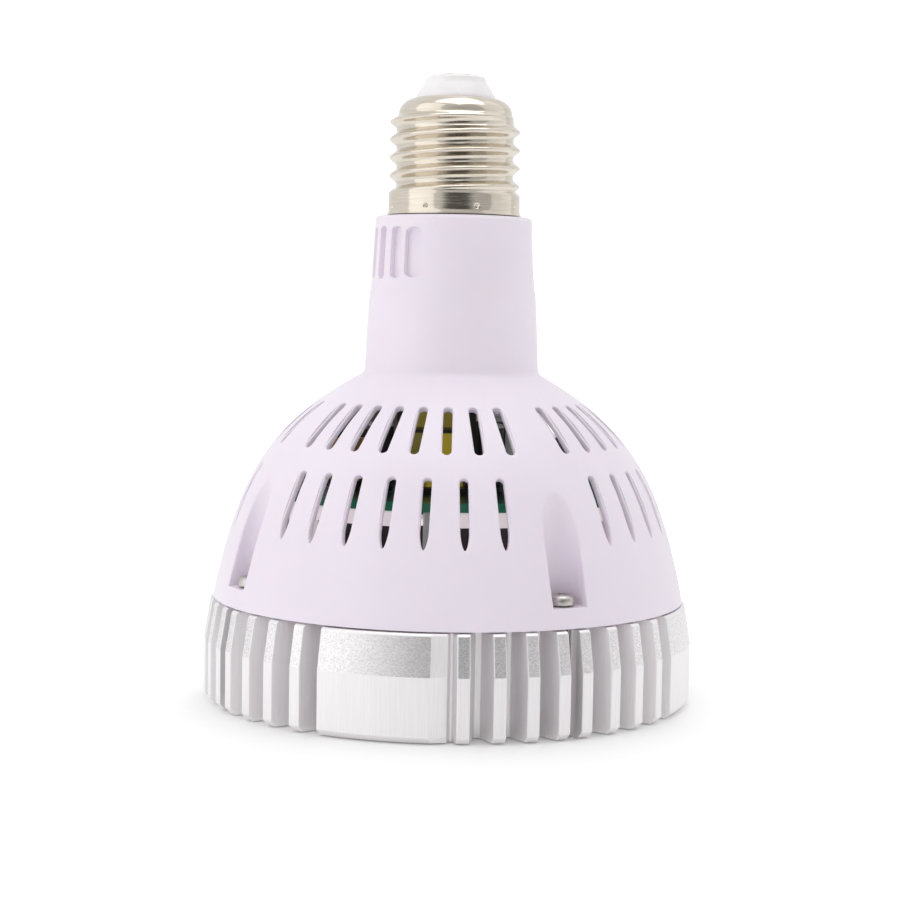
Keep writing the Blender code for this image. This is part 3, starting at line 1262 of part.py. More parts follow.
def build_small_driver_parts():
    outline = rounded_rectangle(FILM_WIDTH, FILM_DEPTH, BOX_CORNER)
    place_at = (FILM_X, FILM_Y, PART_FOOT)
    finish(prism("film_capacitor", outline, 0.0, FILM_HEIGHT, place_at), FILM_GREY)
    outline = rounded_rectangle(BRIDGE_WIDTH, BRIDGE_DEPTH, BOX_CORNER)
    place_at = (BRIDGE_X, BRIDGE_Y, PART_FOOT)
    finish(prism("bridge_rectifier", outline, 0.0, BRIDGE_HEIGHT, place_at), BLACK_PLASTIC)

    choke_at = (CHOKE_X, CHOKE_Y, PART_FOOT)
    outline = (
        (0.0, CHOKE_HEIGHT),
        (CHOKE_RADIUS, CHOKE_HEIGHT),
        (CHOKE_RADIUS, CHOKE_HEIGHT - CHOKE_FLANGE),
        (CHOKE_WAIST_RADIUS, CHOKE_HEIGHT - CHOKE_FLANGE),
        (CHOKE_WAIST_RADIUS, CHOKE_FLANGE),
        (CHOKE_RADIUS, CHOKE_FLANGE),
        (CHOKE_RADIUS, 0.0),
        (0.0, 0.0),
    )
    finish(turned("choke_core", outline, CUP_SEGMENTS, choke_at), FERRITE)
    foot = CHOKE_FLANGE + GAP
    top = CHOKE_HEIGHT - CHOKE_FLANGE - GAP
    inner = CHOKE_WAIST_RADIUS + GAP
    outer = CHOKE_RADIUS - GAP
    outline = ((inner, foot), (inner, top), (outer, top), (outer, foot))
    finish(turned("choke_winding", outline, CUP_SEGMENTS, choke_at), COPPER)

    end = FUSE_LENGTH / 2
    neck = end - FUSE_CAP_LENGTH
    outline = (
        (0.0, end),
        (FUSE_RADIUS, end),
        (FUSE_RADIUS, neck),
        (FUSE_RADIUS - FUSE_CAP_STEP, neck),
        (FUSE_RADIUS - FUSE_CAP_STEP, -neck),
        (FUSE_RADIUS, -neck),
        (FUSE_RADIUS, -end),
        (0.0, -end),
    )
    fuse = turned("fuse", outline, SMALL_SEGMENTS, (FUSE_X, FUSE_Y, PART_FOOT + FUSE_RADIUS))
    fuse.rotation_euler.x = math.radians(QUARTER_TURN)
    finish(fuse, FUSE_BROWN)


# Leads


def smooth_route(points, spacing):
    """Points at about this spacing along a smooth curve through the route's own points."""
    knots = [Vector(point) for point in points]
    dense = []
    for index in range(len(knots) - 1):
        before = knots[max(index - 1, 0)]
        start = knots[index]
        end = knots[index + 1]
        after = knots[min(index + 2, len(knots) - 1)]
        reach = (end - start).length * HANDLE_SHARE
        handle_out = start + (end - before).normalized() * reach
        handle_in = end - (after - start).normalized() * reach
        steps = max(round((end - start).length / spacing), 1)
        dense += interpolate_bezier(start, handle_out, handle_in, end, steps + 1)[:-1]
    return dense + [knots[-1]]


def lead(name, points, radius, spacing, look):
    curve = bpy.data.curves.new(name, "CURVE")
    curve.dimensions = "3D"
    curve.bevel_depth = radius
    curve.bevel_resolution = LEAD_BEVEL_STEPS
    curve.use_fill_caps = True
    spline = curve.splines.new("POLY")
    route = smooth_route(points, spacing)
    spline.points.add(len(route) - 1)
    for target, point in zip(spline.points, route):
        target.co = (*point, 1.0)
    return finish(place(name, curve), look)


def build_leads():
    route = [Vector(point) * MM for point in CONTACT_LEAD_ROUTE]
    lead("contact_lead", route, LEAD_RADIUS, LEAD_SPACING, RED_SILICONE)
    route = [Vector(point) * MM for point in SHELL_LEAD_ROUTE]
    lead("shell_lead", route, LEAD_RADIUS, LEAD_SPACING, BLUE_SILICONE)
    top = polar(SLEEVE_AXIS_RADIUS, SLEEVE_AZIMUTH, BOARD_FOOT - GAP)
    foot = polar(SLEEVE_AXIS_RADIUS, SLEEVE_AZIMUTH, RECESS_DEPTH)
    lead("light_lead", (top, foot), SLEEVE_RADIUS, SLEEVE_SPACING, SLEEVE_GREY)
    at_fan = FAN_SIDE / 2 + GAP + LEAD_RADIUS
    low = Vector((at_fan, 0.0, FAN_FOOT + FAN_THICKNESS / 2))
    up = polar(SLEEVE_AXIS_RADIUS, FAN_LEAD_AZIMUTH, BOARD_FOOT - GAP)
    bend = Vector(((low.x + up.x) / 2, up.y / 2, low.z - LEAD_RADIUS))
    rise = Vector((up.x, up.y, (up.z + low.z) / 2))
    lead("fan_lead", (low, bend, rise, up), LEAD_RADIUS, LEAD_SPACING, RED_SILICONE)


def build_lamp():
    clear_scene()
    build_heatsink()
    build_housing()
    build_screw_shell()
    build_cap_insulator()
    build_centre_contact()
    build_screws()
    build_light_board()
    build_lens_plate()
    frame = build_fan_frame()
    build_fan_stator(frame)
    build_fan_rotor()
    build_fan_bracket()
    build_driver_board()
    build_transformer()
    build_capacitors()
    build_small_driver_parts()
    build_leads()


build_lamp()
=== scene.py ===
# %% [markdown]
# # A fan-cooled grow light bulb, dressed for a photograph
#
# The solids of the lamp come first, as a fixed frame. This file gives them their looks: finer
# pieces that stand where the plain solids stand, and a finish for every surface that shows.
# All sizes are in millimetres and are multiplied by MM, because Blender counts in metres.

import math

import bmesh
import bpy
from mathutils import Matrix, Vector
from mathutils.geometry import interpolate_bezier


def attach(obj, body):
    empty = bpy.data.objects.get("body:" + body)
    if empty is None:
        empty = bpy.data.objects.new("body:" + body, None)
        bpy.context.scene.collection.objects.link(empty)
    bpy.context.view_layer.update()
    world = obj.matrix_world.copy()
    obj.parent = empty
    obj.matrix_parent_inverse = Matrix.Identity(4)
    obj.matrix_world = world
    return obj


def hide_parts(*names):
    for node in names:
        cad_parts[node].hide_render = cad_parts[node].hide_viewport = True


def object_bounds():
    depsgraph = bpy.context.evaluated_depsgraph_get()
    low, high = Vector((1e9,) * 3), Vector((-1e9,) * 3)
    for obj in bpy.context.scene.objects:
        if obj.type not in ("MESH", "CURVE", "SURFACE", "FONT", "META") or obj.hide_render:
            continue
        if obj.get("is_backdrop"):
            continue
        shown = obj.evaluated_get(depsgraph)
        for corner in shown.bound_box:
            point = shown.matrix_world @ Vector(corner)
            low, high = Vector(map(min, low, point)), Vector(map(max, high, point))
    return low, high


MM = 0.001
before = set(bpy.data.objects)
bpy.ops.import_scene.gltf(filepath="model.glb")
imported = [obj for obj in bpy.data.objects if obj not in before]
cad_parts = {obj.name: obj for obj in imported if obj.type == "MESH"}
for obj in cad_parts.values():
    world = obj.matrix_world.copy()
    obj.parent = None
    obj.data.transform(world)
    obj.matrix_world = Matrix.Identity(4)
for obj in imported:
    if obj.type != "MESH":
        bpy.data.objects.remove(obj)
cad_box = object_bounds()
print("frame:", len(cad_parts), "solids")

# %% [markdown]
# ## A few habits of the hand
#
# Every operator works on what is selected, so each step starts from an empty selection.
# A round piece starts as a circle. The circle is extruded upward and scaled again and again,
# so it climbs along the outline of the piece like clay on a wheel. Then the last ring is
# either filled, for a solid, or merged with the first one, for a tube with a wall.


# %% Places, and what is selected
def polar(radius, azimuth, height=0.0):
    """A point round the lamp's axis: azimuth 0 is the camera's side."""
    angle = math.radians(azimuth)
    return Vector((radius * math.sin(angle), -radius * math.cos(angle), height)) * MM


def deselect():
    if bpy.context.object and bpy.context.object.mode == "EDIT":
        bpy.ops.object.mode_set(mode="OBJECT")
    bpy.ops.object.select_all(action="DESELECT")


def pick(*pieces):
    deselect()
    for piece in pieces:
        piece.select_set(True)
    bpy.context.view_layer.objects.active = pieces[0]
    return pieces[0]


def name_it(name):
    piece = bpy.context.object
    piece.name = piece.data.name = name
    bpy.ops.object.transform_apply(location=True, rotation=True, scale=True)
    return piece


def open_up(piece, kind="VERT", action="SELECT"):
    """Goes into edit mode with every point of the piece selected, or with none."""
    pick(piece)
    bpy.ops.object.mode_set(mode="EDIT")
    bpy.ops.mesh.select_mode(type=kind)
    bpy.ops.mesh.select_all(action=action)


def close_up():
    """Turns every face outward and leaves edit mode."""
    bpy.ops.mesh.select_all(action="SELECT")
    bpy.ops.mesh.normals_make_consistent(inside=False)
    bpy.ops.object.mode_set(mode="OBJECT")


print("ten millimetres to the right:", polar(10, 90))


# %% Turning a round piece
def circle(name, sides, radius, place=(0, 0, 0), turn=0.0, fill="NGON"):
    deselect()
    bpy.ops.mesh.primitive_circle_add(
        vertices=sides,
        radius=radius * MM,
        fill_type=fill,
        location=place,
        rotation=(0, 0, math.radians(turn)),
    )
    return name_it(name)


def extrude_up(height):
    """Extrudes what is selected, by a height in millimetres."""
    move = {"value": (0, 0, height * MM)}
    bpy.ops.mesh.extrude_region_move(TRANSFORM_OT_translate=move)


def turned(name, outline, sides=128, closed=False):
    """Raises a circle along (radius, height) points; closed joins the last ring to the first."""
    radius, height = outline[0]
    piece = circle(name, sides, radius, (0, 0, height * MM), fill="NOTHING")
    open_up(piece)
    if not closed:
        bpy.ops.mesh.edge_face_add()
    for step in outline[1:]:
        extrude_up(step[1] - height)
        grow = step[0] / radius
        if abs(grow - 1) > 1e-6:
            bpy.ops.transform.resize(value=(grow, grow, 1), center_override=(0, 0, 0))
        radius, height = step
    bpy.ops.mesh.select_all(action="SELECT")
    bpy.ops.mesh.remove_doubles(threshold=0.004 * MM)
    close_up()
    return piece


print("round pieces can be turned")


# %% Copying, cutting and shading
def copy_of(piece, name, turn=0.0, place=(0, 0, 0)):
    """A copy with a mesh of its own, turned round the lamp's axis and then moved."""
    twin = bpy.data.objects.new(name, piece.data.copy())
    twin.data.name = name
    bpy.context.collection.objects.link(twin)
    twin.data.transform(Matrix.Rotation(math.radians(turn), 4, "Z"))
    twin.data.transform(Matrix.Translation(place))
    return twin


def join(pieces):
    pick(*pieces)
    bpy.ops.object.join()
    return bpy.context.object


def ring_of(piece, turns):
    """One object of many copies of a piece round the axis; the first piece is used up."""
    twins = [copy_of(piece, piece.name, turn) for turn in turns]
    bpy.data.objects.remove(piece)
    return join(twins)


def apply(piece, modifier):
    pick(piece)
    bpy.ops.object.modifier_apply(modifier=modifier.name)
    return piece


def carve(piece, tool, operation="DIFFERENCE", careful=False):
    """A boolean whose result is kept; the tool is thrown away. The careful way is slower."""
    cut = piece.modifiers.new("cut", "BOOLEAN")
    cut.operation = operation
    cut.solver = "EXACT"
    cut.object = tool
    cut.use_self = careful
    apply(piece, cut)
    bpy.data.objects.remove(tool)
    return piece


def smooth(piece, angle=35.0):
    pick(piece)
    bpy.ops.object.shade_smooth_by_angle(angle=math.radians(angle))
    return piece


print("pieces can be copied and cut")


# %% Dressing a piece, and the lamp's layout
def dress(piece, look, body, slot, *nodes):
    """Gives a finished piece its material, its body, and the solids that it stands for."""
    piece.data.materials.clear()
    piece.data.materials.append(look)
    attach(piece, body)
    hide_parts(*nodes)
    print(piece.name, len(piece.data.polygons), "faces")
    return piece


SCREW_AZIMUTH = 29
QUARTER_TURNS = (0, 90, 180, 270)
QUARTERS = [SCREW_AZIMUTH + turn for turn in QUARTER_TURNS]
SCREW_REACH, LENS_SCREW_REACH = 43.6, 32.6  # from the lamp's axis
print("the lamp repeats at azimuths", QUARTERS)

# %% [markdown]
# ## Finishes from nodes
#
# A finish starts as one Principled shader. Even values, such as roughness, go straight on its
# sockets. Grain comes from noise that reads Object coordinates, which stay with the piece from
# every side. The noise either mixes two close colours or bumps the surface by a few
# hundredths of a millimetre.


# %% Helpers for finishes
def shader_of(name, colour, roughness, metallic=0.0, **more):
    look = bpy.data.materials.new(name)
    look.use_nodes = True
    shader = look.node_tree.nodes["Principled BSDF"]
    shader.inputs["Base Color"].default_value = (*colour, 1)
    shader.inputs["Roughness"].default_value = roughness
    shader.inputs["Metallic"].default_value = metallic
    for socket, value in more.items():
        shader.inputs[socket.replace("_", " ")].default_value = value
    look.diffuse_color = (*colour, 1)
    return look, look.node_tree.nodes, look.node_tree.links, shader


def coordinates(nodes, links, stretch=(1, 1, 1)):
    where = nodes.new("ShaderNodeTexCoord")
    mapping = nodes.new("ShaderNodeMapping")
    mapping.inputs["Scale"].default_value = stretch
    links.new(where.outputs["Object"], mapping.inputs["Vector"])
    return mapping.outputs["Vector"]


def grain(nodes, links, source, size, detail=3.0):
    """Noise with features of about this size in millimetres."""
    noise = nodes.new("ShaderNodeTexNoise")
    noise.inputs["Scale"].default_value = 1 / (size * MM)
    noise.inputs["Detail"].default_value = detail
    links.new(source, noise.inputs["Vector"])
    return noise.outputs["Fac"]


def ramp(nodes, links, source, *stops):
    made = nodes.new("ShaderNodeValToRGB")
    while len(made.color_ramp.elements) < len(stops):
        made.color_ramp.elements.new(0.5)
    for element, (place, colour) in zip(made.color_ramp.elements, stops):
        element.position = place
        element.color = (*colour, 1)
    links.new(source, made.inputs["Fac"])
    return made.outputs["Color"]


def bump(nodes, links, shader, source, height):
    made = nodes.new("ShaderNodeBump")
    made.inputs["Distance"].default_value = height * MM
    links.new(source, made.inputs["Height"])
    links.new(made.outputs["Normal"], shader.inputs["Normal"])


def grainy(name, colour, other, roughness, metallic=0.0, size=1.0, height=0.01, **more):
    """A finish of two close colours with a fine bump."""
    look, nodes, links, shader = shader_of(name, colour, roughness, metallic, **more)
    source = grain(nodes, links, coordinates(nodes, links), size)
    colours = ramp(nodes, links, source, (0.35, colour), (0.65, other))
    links.new(colours, shader.inputs["Base Color"])
    bump(nodes, links, shader, source, height)
    return look


print("finish helpers are ready")

# %% [markdown]
# ## White moulding
#
# The housing is a satin white plastic with a trace of lilac. Real mouldings are never one even
# grey: the colour drifts a little over a centimetre, and the tool leaves a very fine texture.
# A slow noise mixes the colour and a fast one makes the texture.

# %% The moulding's finish
def moulding(name, colour, shade, roughness):
    look, nodes, links, shader = shader_of(name, colour, roughness)
    source = coordinates(nodes, links)
    slow = grain(nodes, links, source, 14.0, 2.0)
    links.new(ramp(nodes, links, slow, (0.3, shade), (0.7, colour)), shader.inputs["Base Color"])
    bump(nodes, links, shader, grain(nodes, links, source, 0.35, 2.0), 0.006)
    shader.inputs["Subsurface Weight"].default_value = 0.08
    shader.inputs["Subsurface Scale"].default_value = 1.5 * MM
    return look


white_plastic = moulding("white_plastic", (0.88, 0.81, 0.90), (0.855, 0.785, 0.875), 0.38)
print(white_plastic.name)

# %% [markdown]
# ## The housing's wall
#
# Dome and neck are one moulding. Its outline is a Bezier curve from the rim up to the neck,
# a small fillet, and a slightly tapered neck with a rounded top. The same curve moved inward by
# the wall makes the hollow. It could be one closed outline, but the screw bosses must stay
# inside it, so the hollow is a tool of its own: the bosses are first cut out of the hollow,
# and the hollow is then cut out of the body.

# %% The dome's curve
NECK_RADIUS, NECK_HEIGHT = 15.9, 96.9
SPIGOT_RADIUS, SPIGOT_HEIGHT = 12.1, 100.9  # the stub that carries the cap
WALL = 1.25
RIM = Vector((47.7, 20.3, 0))
RIM_HANDLE, NECK_HANDLE = Vector((42.231, 48.431, 0)), Vector((33.697, 56.449, 0))
NECK_FOOT = Vector((17.65, 65.6, 0))
NECK_TOP = Vector((NECK_RADIUS, NECK_HEIGHT, 0))
DOME_POINTS = 400
dome = interpolate_bezier(RIM, RIM_HANDLE, NECK_HANDLE, NECK_FOOT, DOME_POINTS)


def fillet(curve, before, after, steps=6):
    """Takes every ninth point of the curve, and rounds its corner with the straight neck."""
    low = curve[-before]
    along = (NECK_TOP - NECK_FOOT).normalized()
    high = NECK_FOOT + along * after
    arc = []
    for step in range(steps + 1):
        t = step / steps
        arc.append(low * (1 - t) ** 2 + NECK_FOOT * 2 * t * (1 - t) + high * t**2)
    return curve[: -before : 9] + arc


meridian = fillet(dome, 7, 0.8)
rise = [NECK_FOOT.lerp(NECK_TOP, share) for share in (0.25, 0.5, 0.75, 0.968)]
outer = [(point.x, point.y) for point in meridian + rise]
rounding = [math.radians(angle) for angle in (22, 45, 67, 90)]
outer += [(NECK_RADIUS - 1 + math.cos(a), NECK_HEIGHT - 1 + math.sin(a)) for a in rounding]
outer += [(SPIGOT_RADIUS, NECK_HEIGHT), (SPIGOT_RADIUS, SPIGOT_HEIGHT)]
print("outline points:", len(outer))

# %% The body and its hollow
NECK_BORE, SPIGOT_BORE = 15.0, 9.5
housing = turned("housing_moulding", outer, 160)
inner = []
for index in range(0, DOME_POINTS, 10):
    along = (dome[index + 1] - dome[max(index - 1, 0)]).normalized()
    inner.append((dome[index].x - along.y * WALL, dome[index].y + along.x * WALL))
inner = [(inner[0][0], 18.0)] + [point for point in inner if point[0] > NECK_BORE + 0.2]
inner += [(NECK_BORE, 65.0), (13.3, 94.3), (SPIGOT_BORE, 94.3), (SPIGOT_BORE, 102.0)]
hollow = turned("hollow", inner, 160)
print("inner outline points:", len(inner))


# %% Screw bosses and their recesses
def column(name, radius, foot, top, sides, azimuth=SCREW_AZIMUTH, reach=SCREW_REACH, rows=1):
    """An upright cylinder beside the axis; more rows keep the shading of a long wall even."""
    piece = circle(name, sides, radius, polar(reach, azimuth, foot), azimuth)
    open_up(piece)
    for _ in range(rows):
        extrude_up((top - foot) / rows)
    close_up()
    return piece


def move_points(piece, chosen, shift):
    """Selects points by their place and moves them."""
    open_up(piece, action="DESELECT")
    mesh = bmesh.from_edit_mesh(piece.data)
    for point in mesh.verts:
        point.select = chosen(point.co)
    mesh.select_flush(True)
    bmesh.update_edit_mesh(piece.data)
    bpy.ops.transform.translate(value=shift)
    bpy.ops.object.mode_set(mode="OBJECT")
    return piece


BOSS_RADIUS, SCREW_BORE = 5.85, 1.6
RECESS_RADIUS, RECESS_FLOOR = 3.7, 24.0
carve(hollow, ring_of(column("boss", BOSS_RADIUS, 17.0, 56.0, 48), QUARTER_TURNS))
carve(housing, hollow)
recess = column("recess", RECESS_RADIUS, RECESS_FLOOR, 55.0, 64, rows=16)
outward = polar(1, SCREW_AZIMUTH)
axis = polar(SCREW_REACH, SCREW_AZIMUTH)
move_points(
    recess,
    lambda p: (Vector((p.x, p.y, 0)) - axis).dot(outward / MM) > 0.05 * MM,
    outward * 7,
)
carve(housing, ring_of(recess, QUARTER_TURNS))
carve(housing, ring_of(column("hole", SCREW_BORE, 18.0, 25.0, 24), QUARTER_TURNS))
print("housing after the bosses:", len(housing.data.polygons))

# %% [markdown]
# The mouth of each recess has a soft edge. A bevel would stumble over the many short edges
# that the cut leaves there, so the edge is worked like a real one: a small profile is drawn
# along it and takes the corner away. The profile's strip starts as a flat grid. Each row of
# the grid is laid round one point of the mouth, and the strip closes to a tube.


# %% Rounding the recesses
def radius_at(height):
    """The dome's outer radius in millimetres at a height."""
    for low, high in zip(meridian, meridian[1:]):
        if low.y <= height <= high.y:
            return low.x + (high.x - low.x) * (height - low.y) / (high.y - low.y)
    return 0.0


def height_at(radius):
    """The height in millimetres at which the dome has this outer radius, and the wall's slope."""
    for low, high in zip(meridian, meridian[1:]):
        if high.x <= radius <= low.x:
            share = (low.x - radius) / (low.x - high.x)
            return low.y + (high.y - low.y) * share, (high - low).normalized()
    return RIM.y, (meridian[1] - meridian[0]).normalized()


MOUTH_FOOT, MOUTH_BEND = 24.2, 39.6  # the straight sides of the mouth
LIP_RADIUS = 0.55
PROFILE_POINTS = 9


def mouth_points(radius=RECESS_RADIUS):
    """Points along the mouth of a recess: place, the dome's and the recess wall's directions."""
    out, side = polar(1, SCREW_AZIMUTH) / MM, polar(1, SCREW_AZIMUTH + 90) / MM
    centre = polar(SCREW_REACH, SCREW_AZIMUTH) / MM

    def edge(step, sideways):
        height = MOUTH_FOOT + (MOUTH_BEND - MOUTH_FOOT) * step / 15
        reach = math.sqrt(radius_at(height) ** 2 - radius**2) - SCREW_REACH
        return centre + sideways * radius + out * reach, sideways

    flat = [edge(step, -side) for step in range(15)]
    for step in range(25):
        angle = math.radians(-90 + 180 * step / 24)
        away = side * math.sin(angle) - out * math.cos(angle)
        flat.append((centre + away * radius, away))
    flat += [edge(step, side) for step in range(14, -1, -1)]
    points = []
    for place, away in flat:
        height, slope = height_at(place.length)
        outward = place.normalized() * slope.y - Vector((0, 0, slope.x))
        points.append((Vector((place.x, place.y, height)), outward, away))
    return points


def lip_tool(points, width=LIP_RADIUS):
    """A strip that takes the corner away; it fades out over four points at each foot."""
    past_wall, past_dome = 0.9, 1.2
    last = len(points) - 1
    deselect()
    bpy.ops.mesh.primitive_grid_add(
        x_subdivisions=PROFILE_POINTS - 1, y_subdivisions=last, size=1
    )
    strip = name_it("lip")
    for row, (place, outward, away) in enumerate(points):
        along = (points[min(row + 1, last)][0] - points[max(row - 1, 0)][0]).normalized()
        onto = along.cross(outward)
        onto *= 1 if onto.dot(away) > 0 else -1
        down = along.cross(away)
        down *= 1 if down.dot(outward) < 0 else -1
        wide = width * min(1.0, 0.1 + row / 4, 0.1 + (last - row) / 4)
        profile = []
        for share in (0, 0.25, 0.5, 0.75, 1):
            profile.append(place + onto * wide * (1 - share) ** 2 + down * wide * share**2)
        top = outward * past_dome
        profile.append(profile[-1] - away * past_wall)
        profile += [place - away * past_wall + top, profile[0] + top]
        for number, spot in enumerate(profile + profile[:1]):
            strip.data.vertices[row * PROFILE_POINTS + number].co = spot * MM
    open_up(strip)
    bpy.ops.mesh.remove_doubles(threshold=0.001 * MM)
    bpy.ops.mesh.fill_holes(sides=0)
    bpy.ops.mesh.select_all(action="SELECT")
    bpy.ops.mesh.quads_convert_to_tris()
    close_up()
    return strip


carve(housing, ring_of(lip_tool(mouth_points()), QUARTER_TURNS), careful=True)
print("housing after the lips:", len(housing.data.polygons))

# %% [markdown]
# ## The slots
#
# Two rows of slots let the fan's air out. Each slot is cut by a tool that is modelled flat: a
# circle whose upper half is moved up makes the rounded slot, and a circle whose lower half is
# drawn out to a point makes the other kind. The flat tool is extruded in steps that widen at
# the mouth, which leaves a rounded lip. Then its points are wrapped onto the dome, and
# it is copied round the axis. Wrapping keeps the lip even along the whole curve.

# %% Wrapping a flat tool
path = [(point.x, point.y) for point in dome]
neck_path = [(NECK_FOOT.x, NECK_FOOT.y), (NECK_TOP.x, NECK_TOP.y)]


def wrap(piece, curve, foot):
    """x runs round the lamp, y up the wall from the foot's height, z out of the wall."""
    lengths = [0.0]
    for (r0, z0), (r1, z1) in zip(curve, curve[1:]):
        lengths.append(lengths[-1] + math.hypot(r1 - r0, z1 - z0))

    def locate(length):
        spot = 1
        while spot < len(lengths) - 1 and lengths[spot] < length:
            spot += 1
        (r0, z0), (r1, z1) = curve[spot - 1], curve[spot]
        share = (length - lengths[spot - 1]) / (lengths[spot] - lengths[spot - 1])
        along = Vector((r1 - r0, z1 - z0)).normalized()
        return r0 + (r1 - r0) * share, z0 + (z1 - z0) * share, along

    start = 0.0
    for spot in range(1, len(curve)):
        if curve[spot - 1][1] <= foot <= curve[spot][1]:
            share = (foot - curve[spot - 1][1]) / (curve[spot][1] - curve[spot - 1][1])
            start = lengths[spot - 1] + share * (lengths[spot] - lengths[spot - 1])
            break
    for point in piece.data.vertices:
        x, y, out = point.co / MM
        radius, height, along = locate(start + y)
        point.co = polar(radius + out * along.y, math.degrees(x / radius), height - out * along.x)
    open_up(piece)
    bpy.ops.mesh.quads_convert_to_tris()
    close_up()
    return piece


print("the dome's curve has", len(path), "points")


# %% A slot tool with a rounded lip
def length_between(low, high):
    points = [point for point in path if low <= point[1] <= high]
    return sum(math.dist(a, b) for a, b in zip(points, points[1:]))


def flared(name, half, length, lip, depth, tip=0.0, sides=28, squash=1.0):
    """A slot tool: half its width, its length, the lip's radius, and its depth into the wall."""
    piece = circle(name, sides, half, (0, half * MM, 0))
    move_points(piece, lambda p: p.y > (half + 0.001) * MM, (0, (length - 2 * half) * MM, 0))
    for point in piece.data.vertices:
        beyond = max(point.co.y / MM - (length - half), 0) - max(half - point.co.y / MM, 0)
        point.co.y -= beyond * (1 - squash) * MM
    if tip:
        for point in piece.data.vertices:
            if point.co.y < (half - 0.001) * MM:
                drop = 1 - point.co.y / (half * MM)
                point.co.y = (tip - drop * tip) * MM
                point.co.x *= 1 - 0.25 * drop
            elif point.co.y < (half + 0.001) * MM:
                point.co.y = tip * MM
    open_up(piece)
    bpy.ops.transform.translate(value=(0, 0, -depth * MM))
    middle = (0, length / 2 * MM, 0)
    wide = 0.0
    quarter_round = ((0.5, 0.134), (0.366, 0.366), (0.134, 0.5))  # shares of its radius
    past_wall = 1.5
    steps = [(depth - lip, 0.0)]
    steps += [(rise * lip, spread) for rise, spread in quarter_round]
    steps.append((past_wall, 0.0))
    for step, spread in steps:
        extrude_up(step)
        if spread:
            grown = spread * lip
            across = (half + wide + grown) / (half + wide)
            up = (length / 2 + wide + grown) / (length / 2 + wide)
            bpy.ops.transform.resize(value=(across, up, 1), center_override=middle)
            wide += grown
    bpy.ops.object.mode_set(mode="OBJECT")
    return piece


print("the neck is", round(NECK_HEIGHT - NECK_FOOT.y, 1), "mm high")

# %% Cutting both rows
UPPER, LOWER = (51.6, 60.0), (34.7, 47.6)  # the foot and the top of each row
SLOT_LIP, SLOT_DEPTH = 0.3, 3.4
upper_slot = flared("upper_slot", 0.9, length_between(*UPPER), SLOT_LIP, SLOT_DEPTH)
wrap(upper_slot, path, UPPER[0])
turns = [screw + step for screw in QUARTERS for step in (-40, -30, -20, -10, 10, 20, 30, 40)]
carve(housing, ring_of(upper_slot, turns))
lower_slot = flared("lower_slot", 0.85, length_between(*LOWER), SLOT_LIP, SLOT_DEPTH, tip=3.2)
wrap(lower_slot, path, LOWER[0])
turns = [screw - 45 + step for screw in QUARTERS for step in (-30, -20, -10, 0, 10, 20, 30)]
carve(housing, ring_of(lower_slot, turns))
print("housing after the slots:", len(housing.data.polygons))

# %% [markdown]
# ## Grip grooves
#
# The neck has a small grip on two opposite sides: five short grooves in a faint panel. The
# grooves are cut with the same flared tool, the outer ones wider. The panel is very shallow. Its
# tool is a grid, because a flat face that is wrapped so far round would cut a chord.


# %% Cutting the grip
def panel_tool(width, length, corner, depth):
    deselect()
    bpy.ops.mesh.primitive_grid_add(x_subdivisions=40, y_subdivisions=8, size=1)
    piece = name_it("panel")
    for point in piece.data.vertices:
        x, y = point.co.x * width, (point.co.y + 0.5) * length
        edge = abs(x) - (width / 2 - corner)
        if edge > 0 and y < corner:
            y += (corner - y) * (1 - math.sqrt(max(0.0, 1 - (edge / corner) ** 2)))
        point.co = Vector((x, y, -depth)) * MM
    open_up(piece)
    extrude_up(depth + 1)
    bpy.ops.object.mode_set(mode="OBJECT")
    return piece


GRIPS = (-61, 119)  # azimuths
PANEL_FOOT, GROOVE_FOOT = 82.0, 83.75
panel = wrap(panel_tool(27.6, 16.0, 1.5, 0.2), neck_path, PANEL_FOOT)
carve(housing, ring_of(panel, GRIPS))
for half, steps in ((1.95, (-31.6, 31.6)), (1.5, (-16.3, 16.3)), (1.2, (0,))):
    groove = wrap(flared("groove", half, 11.5, 0.25, 1.3, squash=0.6), neck_path, GROOVE_FOOT)
    carve(housing, ring_of(groove, [side + step for side in GRIPS for step in steps]))
smooth(housing, 32)
dress(housing, white_plastic, "lamp", "white_moulding", "housing")

# %% [markdown]
# ## The finned ring
#
# The heat sink is cut from an extruded aluminium bar and turned on a lathe. The section is
# drawn first: four plain pads, and between them eight fins that flank a round screw port. A
# circle with as many points as the section has is laid out on it, point by point, and extruded
# upward. The points at the fin tips are then drawn in at the foot and towards the top, as the
# lathe left them. A narrow bevel catches the light along every edge.

# %% The section
ROOT, FACET, TIP, FIN_HALF, DRAFT = 43.6, 47.8, 49.5, 1.18, 0.2
SHALLOW = 46.4  # the groove beside a pad
PORT_JOIN = 45.75  # where a fin meets the round wall of the port
PAD_HALF = 12.65  # degrees
FINS = (-25.3, -17.5, -10.1, -2.8, None, 2.9, 10.8, 18.5, 26.4)  # degrees from the port


def flank(azimuth, radius, side, draft=DRAFT):
    half = FIN_HALF + draft * (TIP - radius)
    along = math.sqrt(radius**2 - half**2)
    angle = math.radians(azimuth)
    across = Vector((math.cos(angle), math.sin(angle), 0)) * half * side * MM
    return polar(along, azimuth) + across


def port_outline(azimuth):
    """The round wall of a screw port, open outward through a slit."""
    slit, bore, wall = 0.5, SCREW_BORE, 2.8
    turn = Matrix.Rotation(math.radians(azimuth), 3, "Z")
    lean = math.asin(slit / bore)
    flat = [(-slit, -math.sqrt(wall**2 - slit**2))]
    for step in range(21):
        angle = lean + (2 * math.pi - 2 * lean) * step / 20
        flat.append((-bore * math.sin(angle), -bore * math.cos(angle)))
    flat.append((slit, -math.sqrt(wall**2 - slit**2)))
    return [turn @ Vector((x * MM, (y - SCREW_REACH) * MM, 0)) for x, y in flat]


